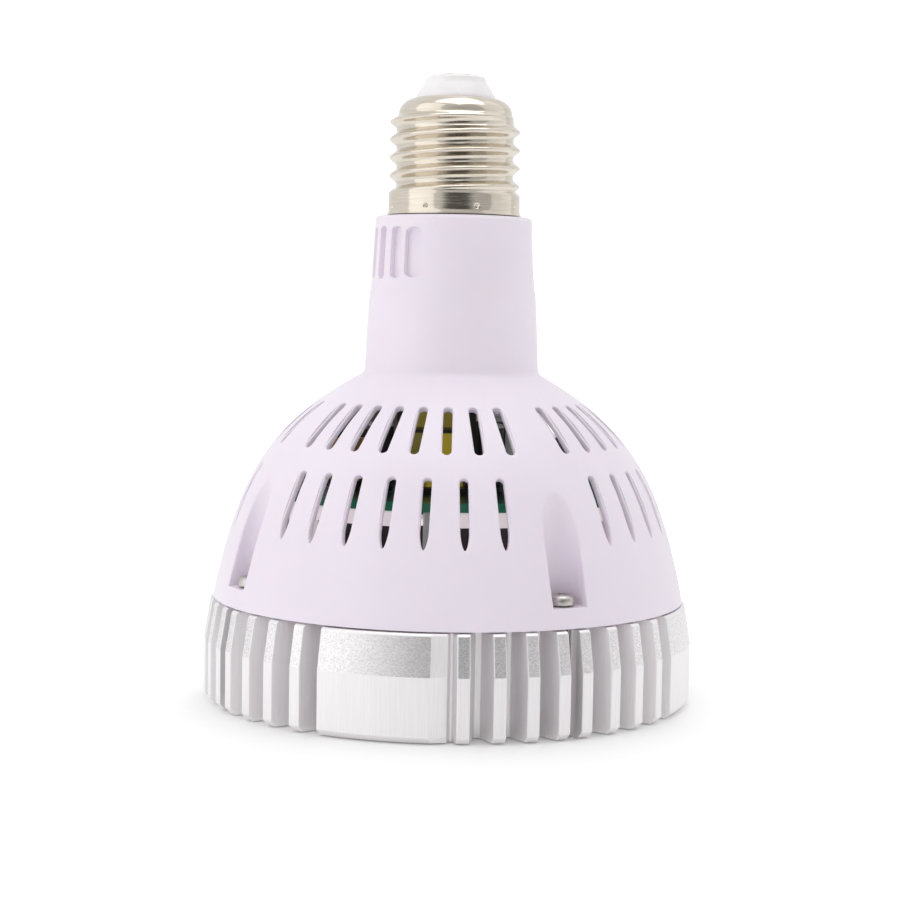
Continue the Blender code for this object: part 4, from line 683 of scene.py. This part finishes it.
def section():
    """The outline's points, quarter by quarter: a pad, its flat, and eight fins with their port."""
    points = []
    for port in QUARTERS:
        pad = port - 45
        points.append(polar(ROOT, pad - 14.0))
        points += [polar(TIP, pad - PAD_HALF + 2 * PAD_HALF * step / 24) for step in range(25)]
        points += [polar(FACET, pad + 16.25), polar(SHALLOW, pad + 16.8)]
        for fin in FINS:
            if fin is None:
                points += port_outline(port)
                continue
            low = PORT_JOIN if 0 < fin < 5 else SHALLOW if fin == FINS[0] else ROOT
            high = PORT_JOIN if -5 < fin < 0 else ROOT
            points.append(flank(port + fin, low, -1, 0 if low == PORT_JOIN else DRAFT))
            points += [flank(port + fin, TIP, side) for side in (-1, -0.33, 0.33, 1)]
            points.append(flank(port + fin, high, 1, 0 if high == PORT_JOIN else DRAFT))
    return points


outline = section()
print("section points:", len(outline))

# %% Extruding and turning it
STEPS = (1.2, 11.0, 7.4, 0.4)
TURNED = {0.0: 48.3, 19.6: 48.25, 20.0: 47.8}  # the largest radius at a height
ring = circle("finned_ring", len(outline), TIP)
for point, place in zip(ring.data.vertices, outline):
    point.co = place
open_up(ring)
for step in STEPS:
    extrude_up(step)
close_up()
for point in ring.data.vertices:
    height = point.co.z / MM
    reach = math.hypot(point.co.x, point.co.y) / MM
    wanted = TURNED.get(round(height, 1))
    if wanted and reach > wanted:
        point.co.x *= wanted / reach
        point.co.y *= wanted / reach
bevel = ring.modifiers.new("edges", "BEVEL")
bevel.width = 0.14 * MM
bevel.segments = 2
bevel.limit_method = "ANGLE"
bevel.angle_limit = math.radians(38)
apply(ring, bevel)
recess_outline = [(42.6, -1.0), (41.0, 0.6), (41.0, 11.6)]
carve(ring, turned("front_recess", recess_outline, 160))
carve(ring, turned("back_bore", [(40.6, 16.0), (40.6, 19.7), (42.2, 21.3)], 160))
holes = column("hole", SCREW_BORE, 10.0, 17.0, 24, reach=LENS_SCREW_REACH)
carve(ring, ring_of(holes, QUARTER_TURNS))
carve(ring, column("sleeve_hole", 1.55, 10.0, 17.0, 24, azimuth=-6, reach=34.2))
smooth(ring, 9)
print("finned ring:", len(ring.data.polygons))

# %% [markdown]
# Aluminium is a soft mirror, so its look comes mostly from what it reflects. The drawn surfaces
# carry fine lines along the bar, from noise that is stretched along the height. The taper that
# the lathe cut last is rougher and speckled. It gets a material of its own: its faces are found
# by their place and by the way that they face.


# %% The ring's finishes
def metal(name, dark, bright, roughness, stretch, size, height):
    look, nodes, links, shader = shader_of(name, bright, roughness, 1.0)
    fine = grain(nodes, links, coordinates(nodes, links, stretch), size, 2.0)
    links.new(ramp(nodes, links, fine, (0.38, dark), (0.62, bright)), shader.inputs["Base Color"])
    bump(nodes, links, shader, fine, height)
    return look


dark, bright = (0.87, 0.85, 0.86), (0.91, 0.89, 0.90)
drawn = metal("drawn_aluminium", dark, bright, 0.4, (1, 1, 0.03), 0.3, 0.002)
drawn.node_tree.nodes["Principled BSDF"].inputs["Metallic"].default_value = 0.7
dark, bright = (0.72, 0.705, 0.715), (0.92, 0.905, 0.91)
turned_metal = metal("turned_aluminium", dark, bright, 0.38, (0.5, 0.5, 1), 0.2, 0.012)
dress(ring, drawn, "lamp", "aluminium", "heatsink")
ring.data.materials.append(turned_metal)
TAPER_FOOT, TAPER_TOP, TAPER_REACH = 12.3 * MM, 19.5 * MM, 46.5 * MM
tapered = 0
for face in ring.data.polygons:
    middle = Vector((face.center.x, face.center.y, 0))
    on_taper = TAPER_FOOT < face.center.z < TAPER_TOP and middle.length > TAPER_REACH
    if on_taper and face.normal.dot(middle.normalized()) > 0.96:
        face.material_index = 1
        tapered += 1
print("turned faces:", tapered)

# %% [markdown]
# ## The screw shell
#
# The shell of the cap is thin nickel-plated sheet, rolled to a thread. A smooth tube is raised
# first, ring by ring. Each point is then moved in or out by where it stands on the helix, which
# is what the rolling die does. Small punch marks round the skirt hold the shell on the neck: the
# faces there are divided, and their points are pushed in to round dents. A thickness comes last.

# %% Rolling the thread
SHELL_FOOT = 97.2
PITCH, CREST, THREAD_ROOT = 3.629, 13.1, 11.75
CREST_HEIGHT, CREST_AZIMUTH = 8.4, -32.5  # a place where the crest passes
SKIRT, SHOULDER, SHOULDER_START = 13.2, 11.4, 20.2
ROLLED_FROM, ROLLED_TO = 3.1, 20.25


def rolled(height, azimuth):
    """The shell's outer radius at a height above its foot."""
    turn = (height - CREST_HEIGHT) / PITCH - (azimuth - CREST_AZIMUTH) / 360
    wave = 0.5 + 0.5 * math.cos(2 * math.pi * turn)
    thread = THREAD_ROOT + (CREST - THREAD_ROOT) * wave**1.7  # crests narrower than a cosine's
    from_skirt = min(max((height - 4.0) / 1.4, 0), 1)  # the thread fades in and out
    to_shoulder = min(max((SHOULDER_START - height) / 1.6, 0), 1)
    ease = from_skirt * from_skirt * (3 - 2 * from_skirt)
    low = SKIRT + (thread - SKIRT) * ease
    ease = to_shoulder * to_shoulder * (3 - 2 * to_shoulder)
    return SHOULDER + (low - SHOULDER) * ease


outline = [(13.5, 0.0), (13.45, 0.25), (13.25, 0.6)]
outline += [(SKIRT, height) for height in (0.9, 1.4, 1.9, 2.4, 2.9)]
outline += [(SKIRT, 3.2 + 0.25 * step) for step in range(69)]
dome_angles = [math.radians(8 * step) for step in range(1, 11)]
outline += [(7.4 + 4.0 * math.cos(a), SHOULDER_START + 3.2 * math.sin(a)) for a in dome_angles]
shell = circle("rolled_shell", 160, outline[0][0], (0, 0, SHELL_FOOT * MM), fill="NOTHING")
open_up(shell)
for (r0, z0), (r1, z1) in zip(outline, outline[1:]):
    extrude_up(z1 - z0)
    if abs(r1 - r0) > 1e-6:
        bpy.ops.transform.resize(value=(r1 / r0, r1 / r0, 1), center_override=(0, 0, 0))
close_up()
for point in shell.data.vertices:
    height = point.co.z / MM - SHELL_FOOT
    if ROLLED_FROM < height < ROLLED_TO:
        azimuth = math.degrees(math.atan2(point.co.x, -point.co.y))
        grow = rolled(height, azimuth) * MM / math.hypot(point.co.x, point.co.y)
        point.co.x *= grow
        point.co.y *= grow
print("shell points:", len(shell.data.vertices))

# %% Punch marks and thickness
MARKS = [polar(SKIRT, -25 + 45 * step, SHELL_FOOT + 1.45) for step in range(8)]
MARK_RADIUS, MARK_DEPTH = 0.62, 0.45
open_up(shell, "FACE", "DESELECT")
mesh = bmesh.from_edit_mesh(shell.data)
for face in mesh.faces:
    face.select = min((face.calc_center_median() - mark).length for mark in MARKS) < 1.0 * MM
bmesh.update_edit_mesh(shell.data)
bpy.ops.mesh.subdivide(number_cuts=3)
bpy.ops.mesh.select_mode(type="VERT")
bpy.ops.object.mode_set(mode="OBJECT")
pushed = 0
for point in shell.data.vertices:
    near = min((point.co - mark).length for mark in MARKS) / MM
    if near < MARK_RADIUS:
        depth = MARK_DEPTH * (0.5 + 0.5 * math.cos(math.pi * near / MARK_RADIUS))
        outward = Vector((point.co.x, point.co.y, 0)).normalized()
        point.co -= outward * depth * MM
        pushed += 1
sheet = shell.modifiers.new("sheet", "SOLIDIFY")
sheet.thickness = 0.4 * MM
sheet.offset = -1
apply(shell, sheet)
smooth(shell, 50)
print("points pushed in:", pushed)

# %% [markdown]
# Nickel plate is a warm, fairly sharp mirror. Rolling leaves faint rings round it, so the noise
# is stretched round the axis: it changes quickly with height and slowly sideways.

# %% The cap's finishes
nickel, nodes, links, shader = shader_of("nickel_plate", (0.72, 0.66, 0.57), 0.13, 1.0)
streaks = grain(nodes, links, coordinates(nodes, links, (1, 1, 14)), 6.0, 4.0)
tones = ramp(nodes, links, streaks, (0.3, (0.65, 0.59, 0.50)), (0.7, (0.76, 0.70, 0.61)))
links.new(tones, shader.inputs["Base Color"])
bump(nodes, links, shader, streaks, 0.02)
dress(shell, nickel, "lamp", "cap_metal", "screw_shell")
glazed = grainy(
    "glazed_insulator", (0.93, 0.90, 0.915), (0.90, 0.87, 0.89), 0.22, size=3.0, height=0.02
)
print("cap finishes:", nickel.name, glazed.name)

# %% [markdown]
# ## The cap's end
#
# A white button closes the shell and carries the centre contact. Both are turned shapes. Their
# outlines get several small steps where the real ones have a rounded edge.


# %% Button and contact
def arc(centre, radius, start, end, steps=5):
    angles = [math.radians(start + (end - start) * step / steps) for step in range(steps + 1)]
    return [(centre[0] + radius * math.cos(a), centre[1] + radius * math.sin(a)) for a in angles]


button_outline = [(1.6, 116.6), (10.9, 116.6), (10.8, 117.4), (10.2, 118.3), (9.2, 119.0)]
button_outline += [(8.2, 119.4), (8.1, 120.6), (7.85, 121.1), (7.3, 122.1), (6.6, 123.2)]
button_outline.append((6.0, 124.0))
button_outline += arc((5.2, 124.2), 0.8, 20, 85)
button_outline += [(4.35, 125.0), (4.2, 124.9), (4.2, 124.05), (1.6, 124.05), (1.6, 116.6)]
button = turned("cap_button", button_outline, 96, closed=True)
smooth(button, 40)
dress(button, glazed, "lamp", "cap_white", "cap_insulator")
contact_outline = [(1.3, 113.9), (1.3, 124.3), (3.8, 124.3)]
contact_outline += arc((3.5, 124.95), 0.35, 0, 90, 4) + [(2.0, 125.28), (0.4, 125.3)]
contact = turned("contact_button", contact_outline, 64)
smooth(contact, 40)
dress(contact, nickel, "lamp", "cap_metal", "centre_contact")

# %% [markdown]
# ## Screws
#
# One pan-head screw is modelled at the origin, with a cross recess cut by two tapered bars, and
# then copied to each place. The four in the recesses hold the housing to the ring; the four in
# the lens plate point the other way.

# %% One screw
def block(name, width, depth, height, middle):
    """A box on the lamp's axis; its centre lies at the height of middle."""
    deselect()
    bpy.ops.mesh.primitive_cube_add(size=1)
    piece = name_it(name)
    piece.data.transform(Matrix.Diagonal((width * MM, depth * MM, height * MM, 1)))
    piece.data.transform(Matrix.Translation((0, 0, middle * MM)))
    return piece


steel = grainy(
    "screw_steel", (0.62, 0.6, 0.57), (0.5, 0.48, 0.45), 0.28, 1.0, size=0.6, height=0.02
)


def pan_head_screw(name, length):
    head = [(1.3, -length), (1.3, -0.1), (2.35, 0.0), (2.5, 0.15), (2.5, 0.9)]
    head += [(2.42, 1.25), (2.2, 1.6), (1.8, 1.85), (1.2, 1.97), (0.3, 2.0)]
    screw = turned(name, head, 40)
    bars = []
    for turn in (0, 90):
        bar = block("bar", 2.9, 0.62, 1.9, 1.75)
        for point in bar.data.vertices:
            if point.co.z < 1.6 * MM:
                point.co.x *= 0.45
        bar.data.transform(Matrix.Rotation(math.radians(turn + 20), 4, "Z"))
        bars.append(bar)
    for bar in bars:
        carve(screw, bar)
    return smooth(screw, 35)


print("one screw can be made, in", steel.name)


# %% Placing the screws
HOUSING_SEAT, LENS_SEAT = 24.3, 2.9  # heights of the screws' heads
short_screw = pan_head_screw("housing_fixing", 10.0)
for number, azimuth in enumerate(QUARTERS, start=1):
    place = polar(SCREW_REACH, azimuth, HOUSING_SEAT)
    fixing = copy_of(short_screw, f"housing_fixing_{number}", azimuth, place)
    dress(fixing, steel, "lamp", "screw_steel", f"housing_screw_{number}")
long_screw = pan_head_screw("lens_fixing", 20.1)
long_screw.data.transform(Matrix.Rotation(math.pi, 4, "X"))
for number, azimuth in enumerate(QUARTERS, start=1):
    place = polar(LENS_SCREW_REACH, azimuth, LENS_SEAT)
    fixing = copy_of(long_screw, f"lens_fixing_{number}", place=place)
    dress(fixing, steel, "lamp", "screw_steel", f"lens_screw_{number}")
for screw in (short_screw, long_screw):
    bpy.data.objects.remove(screw)

# %% [markdown]
# ## The lighting side
#
# Behind the front rim lies a clear plate with a cone-shaped lens over each light, and a column
# at each screw. The cones are turned once, copied and joined to the plate by a union, so that
# no faces are left inside the clear body: they would show as grey films.

# %% The lens plate
OUTER_LIGHTS, INNER_LIGHTS, LIGHT_TOP = 27.5, 11.495, 9.4  # two radii and a height
LIGHTS = [(OUTER_LIGHTS, 51.5 + 45 * step) for step in range(8)]
LIGHTS += [(INNER_LIGHTS, 74 + turn) for turn in QUARTER_TURNS]
plate_outline = [(40.15, 1.0), (40.4, 1.25), (40.4, 2.75), (40.15, 3.0)]
plate = turned("lens_disc", plate_outline, 160)
cone = turned("cone", [(7.4, 2.5), (7.3, 3.2), (6.2, 5.6), (4.3, 7.7), (4.0, 7.9)], 40)
pillar = turned("pillar", [(3.4, 2.5), (3.4, 8.9), (3.3, 9.4)], 32)
raised = [copy_of(cone, "cone", place=polar(*light)) for light in LIGHTS]
raised += [copy_of(pillar, "pillar", place=polar(LENS_SCREW_REACH, a)) for a in QUARTERS]
bpy.data.objects.remove(cone)
bpy.data.objects.remove(pillar)
carve(plate, join(raised), "UNION")
bores = column("bore", SCREW_BORE, 2.0, 10.0, 24, reach=LENS_SCREW_REACH)
carve(plate, ring_of(bores, QUARTER_TURNS))
seats = column("seat", 3.05, 0.0, 3.2, 32, reach=LENS_SCREW_REACH)
carve(plate, ring_of(seats, QUARTER_TURNS))
smooth(plate, 30)
acrylic, nodes, links, shader = shader_of("clear_acrylic", (0.93, 0.95, 0.96), 0.04, IOR=1.49)
shader.inputs["Transmission Weight"].default_value = 0.92
ripple = grain(nodes, links, coordinates(nodes, links), 5.0, 1.0)
bump(nodes, links, shader, ripple, 0.02)
dress(plate, acrylic, "lamp", "clear_lens", "lens_plate")

# %% [markdown]
# Each light is a small ceramic base with a dome of yellow phosphor gel. The CAD solid is one
# plain button; here the base is a square with cut corners, and the dome is turned.

# %% The lights
gel = grainy("phosphor_gel", (0.93, 0.72, 0.16), (0.86, 0.62, 0.10), 0.25, size=0.8, height=0.01)
ceramic = grainy("light_base", (0.85, 0.85, 0.83), (0.80, 0.80, 0.78), 0.5, size=1.0)


def light_package(name):
    base = block(name, 2.35, 2.35, 0.7, -0.35)
    open_up(base)
    bpy.ops.mesh.bevel(offset=0.12 * MM, segments=2)
    bpy.ops.object.mode_set(mode="OBJECT")
    angles = [math.radians(15 * step) for step in range(6)]
    gel_outline = [(1.05, -0.65)]
    gel_outline += [(1.05 * math.cos(a), -0.75 - 0.72 * math.sin(a)) for a in angles]
    gel_outline.append((0.08, -1.48))
    drop = turned("gel", gel_outline, 24)
    for piece in (base, drop):
        piece.data.materials.append(ceramic)
        piece.data.materials.append(gel)
    for face in drop.data.polygons:
        face.material_index = 1
    return smooth(join([base, drop]), 40)


package = light_package("light")
for number, (radius, azimuth) in enumerate(LIGHTS, start=1):
    place = polar(radius, azimuth, LIGHT_TOP)
    twin = copy_of(package, f"light_package_{number:02d}", azimuth, place)
    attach(twin, "lamp")
    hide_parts(f"light_{number:02d}")
bpy.data.objects.remove(package)
print("lights:", len(LIGHTS))

# %% [markdown]
# ## What shows through the slots
#
# The inner solids keep their CAD shape, because only thin strips of them show. They still
# need finishes in their true colours: the eye reads the yellow tape, the green board and the black
# cans as a
# circuit even through a slot two millimetres wide. Their finishes also carry painted light:
# a faint glow for the light that the moulding lets in, painted shade on the board's middle,
# and the yellow tape painted olive where it lies in shade.

# %% Inner finishes
# A painted glow: emission on pieces that are no lamps, standing in for the light that comes in
# through the moulding.
def glowing(colour, strength):
    return {"Emission_Color": (*colour, 1), "Emission_Strength": strength}


def vector_maths(nodes, links, operation, source, other=None):
    made = nodes.new("ShaderNodeVectorMath")
    made.operation = operation
    links.new(source, made.inputs[0])
    if other is not None:
        made.inputs[1].default_value = other
    is_number = operation in ("LENGTH", "DISTANCE", "DOT_PRODUCT")
    return made.outputs["Value" if is_number else "Vector"]


def map_range(nodes, links, source, start, end, low=0.0, high=1.0, kind="LINEAR"):
    """Turns a value between start and end into one between low and high."""
    made = nodes.new("ShaderNodeMapRange")
    made.interpolation_type = kind
    bounds = (("From Min", start), ("From Max", end), ("To Min", low), ("To Max", high))
    for socket, value in bounds:
        made.inputs[socket].default_value = value
    links.new(source, made.inputs["Value"])
    return made.outputs["Result"]


def place_along(nodes, links, axis, start, end):
    """From 0 to 1 between two places in millimetres on one axis."""
    axes = nodes.new("ShaderNodeSeparateXYZ")
    links.new(coordinates(nodes, links), axes.inputs["Vector"])
    return map_range(nodes, links, axes.outputs[axis], start * MM, end * MM)


def paint(links, shader, colours, glow):
    """The same colours by light and by a faint painted glow, which stands in for light that the
    moulding lets in.
    """
    for socket in ("Base Color", "Emission Color"):
        links.new(colours, shader.inputs[socket])
    shader.inputs["Emission Strength"].default_value = glow


# The driver board is painted darker towards its middle: painted shade, where less light comes in,
# and a brighter painted edge where light falls on it. Its faint glow is painted light too.
solder_mask, nodes, links, shader = shader_of("green_board", (0.02, 0.16, 0.09), 0.35)
flat = vector_maths(nodes, links, "MULTIPLY", coordinates(nodes, links), (1, 1, 0))
reach = vector_maths(nodes, links, "LENGTH", flat)
edgeward = map_range(nodes, links, reach, 20 * MM, 36.5 * MM)
inside, between, at_edge = (0.003, 0.012, 0.008), (0.01, 0.055, 0.033), (0.013, 0.13, 0.075)
painted_board_shade = ramp(nodes, links, edgeward, (0.4, inside), (0.8, between), (0.97, at_edge))
paint(links, shader, painted_board_shade, 0.3)
print(solder_mask.name)

# %% [markdown]
# Some inner pieces change colour along a line, such as the taped winding between the black legs
# of its core, and the cans with their pale tops. A colour ramp on one coordinate draws such
# bands, and keeps their edges sharp at any distance. The olive bands are painted shade: yellow
# tape as it looks in shadow, on the core's top bar and on the winding's left side.


# %% Finishes in bands
def in_bands(name, axis, start, end, roughness, glow, *stops):
    """Colours that change along one axis, between two places in millimetres."""
    look, nodes, links, shader = shader_of(name, stops[0][1], roughness)
    bands = ramp(nodes, links, place_along(nodes, links, axis, start, end), *stops)
    paint(links, shader, bands, glow)
    return look, bands


# TAPE_IN_SHADE is painted shade: the colour of the yellow tape where it lies in shadow.
BLACK, TAPE_IN_SHADE, YELLOW = (0.015, 0.013, 0.01), (0.36, 0.29, 0.05), (0.90, 0.70, 0.06)
stops = [(0.0, BLACK), (0.28, BLACK), (0.3, TAPE_IN_SHADE), (0.53, TAPE_IN_SHADE), (0.55, BLACK)]
ferrite, _ = in_bands("ferrite", "X", -20, 20, 0.5, 0.22, *stops)
stops = [(0.66, (0.02, 0.02, 0.025)), (0.7, (0.62, 0.62, 0.62))]
can_sleeve, _ = in_bands("can_sleeve", "Z", 50, 58, 0.35, 0.1, *stops)
stops = [(0.26, TAPE_IN_SHADE), (0.3, YELLOW), (0.62, YELLOW), (0.66, BLACK)]
tape, sideways = in_bands("winding_tape", "X", -10, 10, 0.3, 0.12, *stops)

# Above the tape's top edge the winding is black.
nodes, links = tape.node_tree.nodes, tape.node_tree.links
edge = nodes.new("ShaderNodeMix")
edge.data_type = "RGBA"
edge.inputs["B"].default_value = (*BLACK, 1)
links.new(place_along(nodes, links, "Z", 54.3, 54.5), edge.inputs["Factor"])
links.new(sideways, edge.inputs["A"])
paint(links, nodes["Principled BSDF"], edge.outputs["Result"], 0.12)
print("in bands:", ferrite.name, can_sleeve.name, tape.name)

# %% Grainy finishes
# The bracket, the film case, the copper wire and the glass sleeve glow a little: painted light, for
# the light that the moulding lets in.
bracket_white = grainy(
    "bracket_white", (0.90, 0.84, 0.86), (0.86, 0.80, 0.82), 0.5,
    size=2.0, **glowing((0.9, 0.8, 0.83), 0.5),
)
black_plastic = grainy(
    "black_plastic", (0.036, 0.031, 0.032), (0.046, 0.04, 0.041), 0.42, size=0.5
)
film_case = grainy(
    "film_case", (0.65, 0.65, 0.62), (0.6, 0.6, 0.57), 0.4,
    size=1.5, **glowing((0.6, 0.6, 0.57), 0.12),
)
copper_wire = grainy(
    "copper_wire", (0.70, 0.36, 0.18), (0.55, 0.26, 0.12), 0.35, 1.0,
    size=0.3, height=0.05, **glowing((0.5, 0.25, 0.1), 0.12),
)
fuse_body = grainy("fuse_body", (0.45, 0.30, 0.20), (0.38, 0.25, 0.16), 0.4)
red_silicone = grainy("red_silicone", (0.55, 0.03, 0.03), (0.48, 0.025, 0.025), 0.5)
blue_silicone = grainy("blue_silicone", (0.05, 0.09, 0.38), (0.04, 0.07, 0.32), 0.5)
glass_sleeve = grainy(
    "glass_sleeve", (0.42, 0.41, 0.40), (0.36, 0.35, 0.34), 0.6,
    size=0.3, height=0.03, **glowing((0.4, 0.4, 0.39), 0.25),
)
white_board = grainy("white_board", (0.88, 0.88, 0.86), (0.83, 0.83, 0.81), 0.4, size=1.5)
print("grainy finishes are ready")

# %% Who wears what
worn = (
    (bracket_white, ["fan_bracket"]),
    (black_plastic, ["fan_frame", "fan_rotor", "transformer_bobbin", "bridge_rectifier"]),
    (can_sleeve, ["input_capacitor_left", "input_capacitor_right", "output_capacitor"]),
    (ferrite, ["transformer_core", "choke_core"]),
    (film_case, ["film_capacitor"]),
    (copper_wire, ["choke_winding", "fan_stator"]),
    (fuse_body, ["fuse"]),
    (red_silicone, ["contact_lead", "fan_lead"]),
    (blue_silicone, ["shell_lead"]),
    (glass_sleeve, ["light_lead"]),
    (white_board, ["light_board"]),
    (solder_mask, ["driver_board"]),
    (tape, ["transformer_winding"]),
    (steel, [f"{kind}_screw_{number}" for kind in ("board", "fan") for number in range(1, 5)]),
)
for look, names in worn:
    for name in names:
        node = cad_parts[name]
        node.data.materials.clear()
        node.data.materials.append(look)
print("inner solids with a finish:", sum(len(names) for _, names in worn))

# %% [markdown]
# ## The studio
#
# The lamp stands on a pale floor in soft light, as in a product photograph. A wide soft box
# stands on each side, a third one above. Bright metal needs something dark to reflect, so the
# world has a dark patch in front of the lamp, where a photographer would stand, and it is
# darker on the right. The moulding of the real lamp lets a little light through to the pieces
# inside; their finishes glow very faintly to stand in for that.

# %% The floor
FLOOR = -0.2 * MM  # a hair below the rim that the lamp stands on
deselect()
bpy.ops.mesh.primitive_plane_add(size=6.0, location=(0, 0, FLOOR))
floor = name_it("floor")
WHITE = (1, 1, 1, 1)
pale, nodes, links, shader = shader_of("pale_floor", (0.95, 0.95, 0.95), 0.7)
shader.inputs["Emission Color"].default_value = WHITE
# Painted shadow: the floor's glow, seen by the camera only, is almost nothing close in front of the
# lamp's foot and grows further out, so the floor is painted darker round the front of the foot as a
# contact shadow.
where = nodes.new("ShaderNodeTexCoord").outputs["Object"]
far = vector_maths(nodes, links, "DISTANCE", where, (0, -25 * MM, 0))
glow = map_range(nodes, links, far, 23 * MM, 200 * MM, -0.07, 0.5)
floor_glow_with_painted_shadow = nodes.new("ShaderNodeMath")
floor_glow_with_painted_shadow.operation = "MULTIPLY_ADD"
floor_glow_with_painted_shadow.inputs[2].default_value = 0.08
ray = nodes.new("ShaderNodeLightPath")
links.new(ray.outputs["Is Camera Ray"], floor_glow_with_painted_shadow.inputs[0])
links.new(glow, floor_glow_with_painted_shadow.inputs[1])
links.new(floor_glow_with_painted_shadow.outputs[0], shader.inputs["Emission Strength"])
floor.data.materials.append(pale)
floor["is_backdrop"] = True
print("floor:", floor.name)


# %% Three soft boxes
def soft_box(name, place, aim, width, height, power):
    lamp = bpy.data.lights.new(name, "AREA")
    lamp.shape = "RECTANGLE"
    lamp.size, lamp.size_y = width, height
    lamp.energy = power
    holder = bpy.data.objects.new(name, lamp)
    bpy.context.collection.objects.link(holder)
    holder.location = place
    holder.rotation_euler = (Vector(aim) - Vector(place)).to_track_quat("-Z", "Y").to_euler()
    print(name, power, "W")


# Places and sizes in metres, power in watts.
soft_box("left_box", (-0.80, -0.45, 0.50), (0, 0, 0.06), 1.0, 1.2, 1.7)
soft_box("right_box", (0.80, 0.05, 0.55), (0, 0, 0.06), 1.0, 1.2, 1.0)
soft_box("top_box", (0.1, -0.1, 0.95), (0, 0, 0.05), 0.8, 0.8, 2.2)

# %% [markdown]
# The camera sees a plain white world, and everything else is lit by another one, which holds the
# dark patch. The patch is the part of the sky whose direction is close to one line: the dot
# product of two directions measures that, and a map range turns it into brightness.

# %% The world round the lamp
world = bpy.data.worlds.new("studio")
bpy.context.scene.world = world
world.use_nodes = True
nodes, links = world.node_tree.nodes, world.node_tree.links
nodes.clear()
seen = nodes.new("ShaderNodeBackground")
seen.inputs["Color"].default_value = WHITE
seen.inputs["Strength"].default_value = 1.05
lighting = nodes.new("ShaderNodeBackground")
lighting.inputs["Color"].default_value = WHITE
sky = nodes.new("ShaderNodeTexCoord").outputs["Generated"]
squeezed = vector_maths(nodes, links, "MULTIPLY", sky, (1, 1, 1.8))
direction = vector_maths(nodes, links, "NORMALIZE", squeezed)
patch_centre = (polar(1, 6) / MM + Vector((0, 0, 0.27))).normalized()
facing = vector_maths(nodes, links, "DOT_PRODUCT", direction, patch_centre)
dark_patch = map_range(nodes, links, facing, 0.85, 0.965, 1.0, 0.16, "SMOOTHSTEP")
right = vector_maths(nodes, links, "DOT_PRODUCT", sky, polar(1, 38) / MM)
lean = map_range(nodes, links, right, -0.2, 1.0, 0.88, 0.49)
level = nodes.new("ShaderNodeMath")
level.operation = "MULTIPLY"
links.new(dark_patch, level.inputs[0])
links.new(lean, level.inputs[1])
links.new(level.outputs[0], lighting.inputs["Strength"])
kind = nodes.new("ShaderNodeLightPath")
mixed = nodes.new("ShaderNodeMixShader")
links.new(kind.outputs["Is Camera Ray"], mixed.inputs[0])
links.new(lighting.outputs[0], mixed.inputs[1])
links.new(seen.outputs[0], mixed.inputs[2])
out = nodes.new("ShaderNodeOutputWorld")
links.new(mixed.outputs[0], out.inputs["Surface"])
print("nodes in the world:", len(nodes))

# %% [markdown]
# The camera stands where the photographer's stood. Its lens, distance and tilt were fitted to
# circles of the lamp as the photograph shows them. The screw cap, whose size is a standard one,
# gives the scale.

# %% The camera
LENS, PICTURE_WIDTH = 78.21, 36.0  # millimetres, as on a camera
AWAY, UP = 0.3974, 0.0793  # metres
LOOK_DOWN, ROLL = 4.245, 0.957  # degrees
bpy.context.scene.view_settings.view_transform = "Standard"
view = bpy.data.cameras.new("photo_camera")
view.lens = LENS
view.sensor_width = PICTURE_WIDTH
camera = bpy.data.objects.new("photo_camera", view)
bpy.context.collection.objects.link(camera)
camera.location = (0, -AWAY, UP)
pitch = Matrix.Rotation(math.radians(90 - LOOK_DOWN), 3, "X")
roll = Matrix.Rotation(math.radians(ROLL), 3, "Z")
camera.rotation_euler = (pitch @ roll).to_euler()
view.clip_start = 0.01
bpy.context.scene.camera = camera
print("camera at", [round(value, 4) for value in camera.location])

# %% [markdown]
# The box of the dressed lamp is kept beside the box of the solids.

# %% Closing
boxes = {"cad": cad_box, "dressed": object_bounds()}
boxes = {name: [list(corner) for corner in box] for name, box in boxes.items()}
print("the dressed lamp's box:", boxes["dressed"])
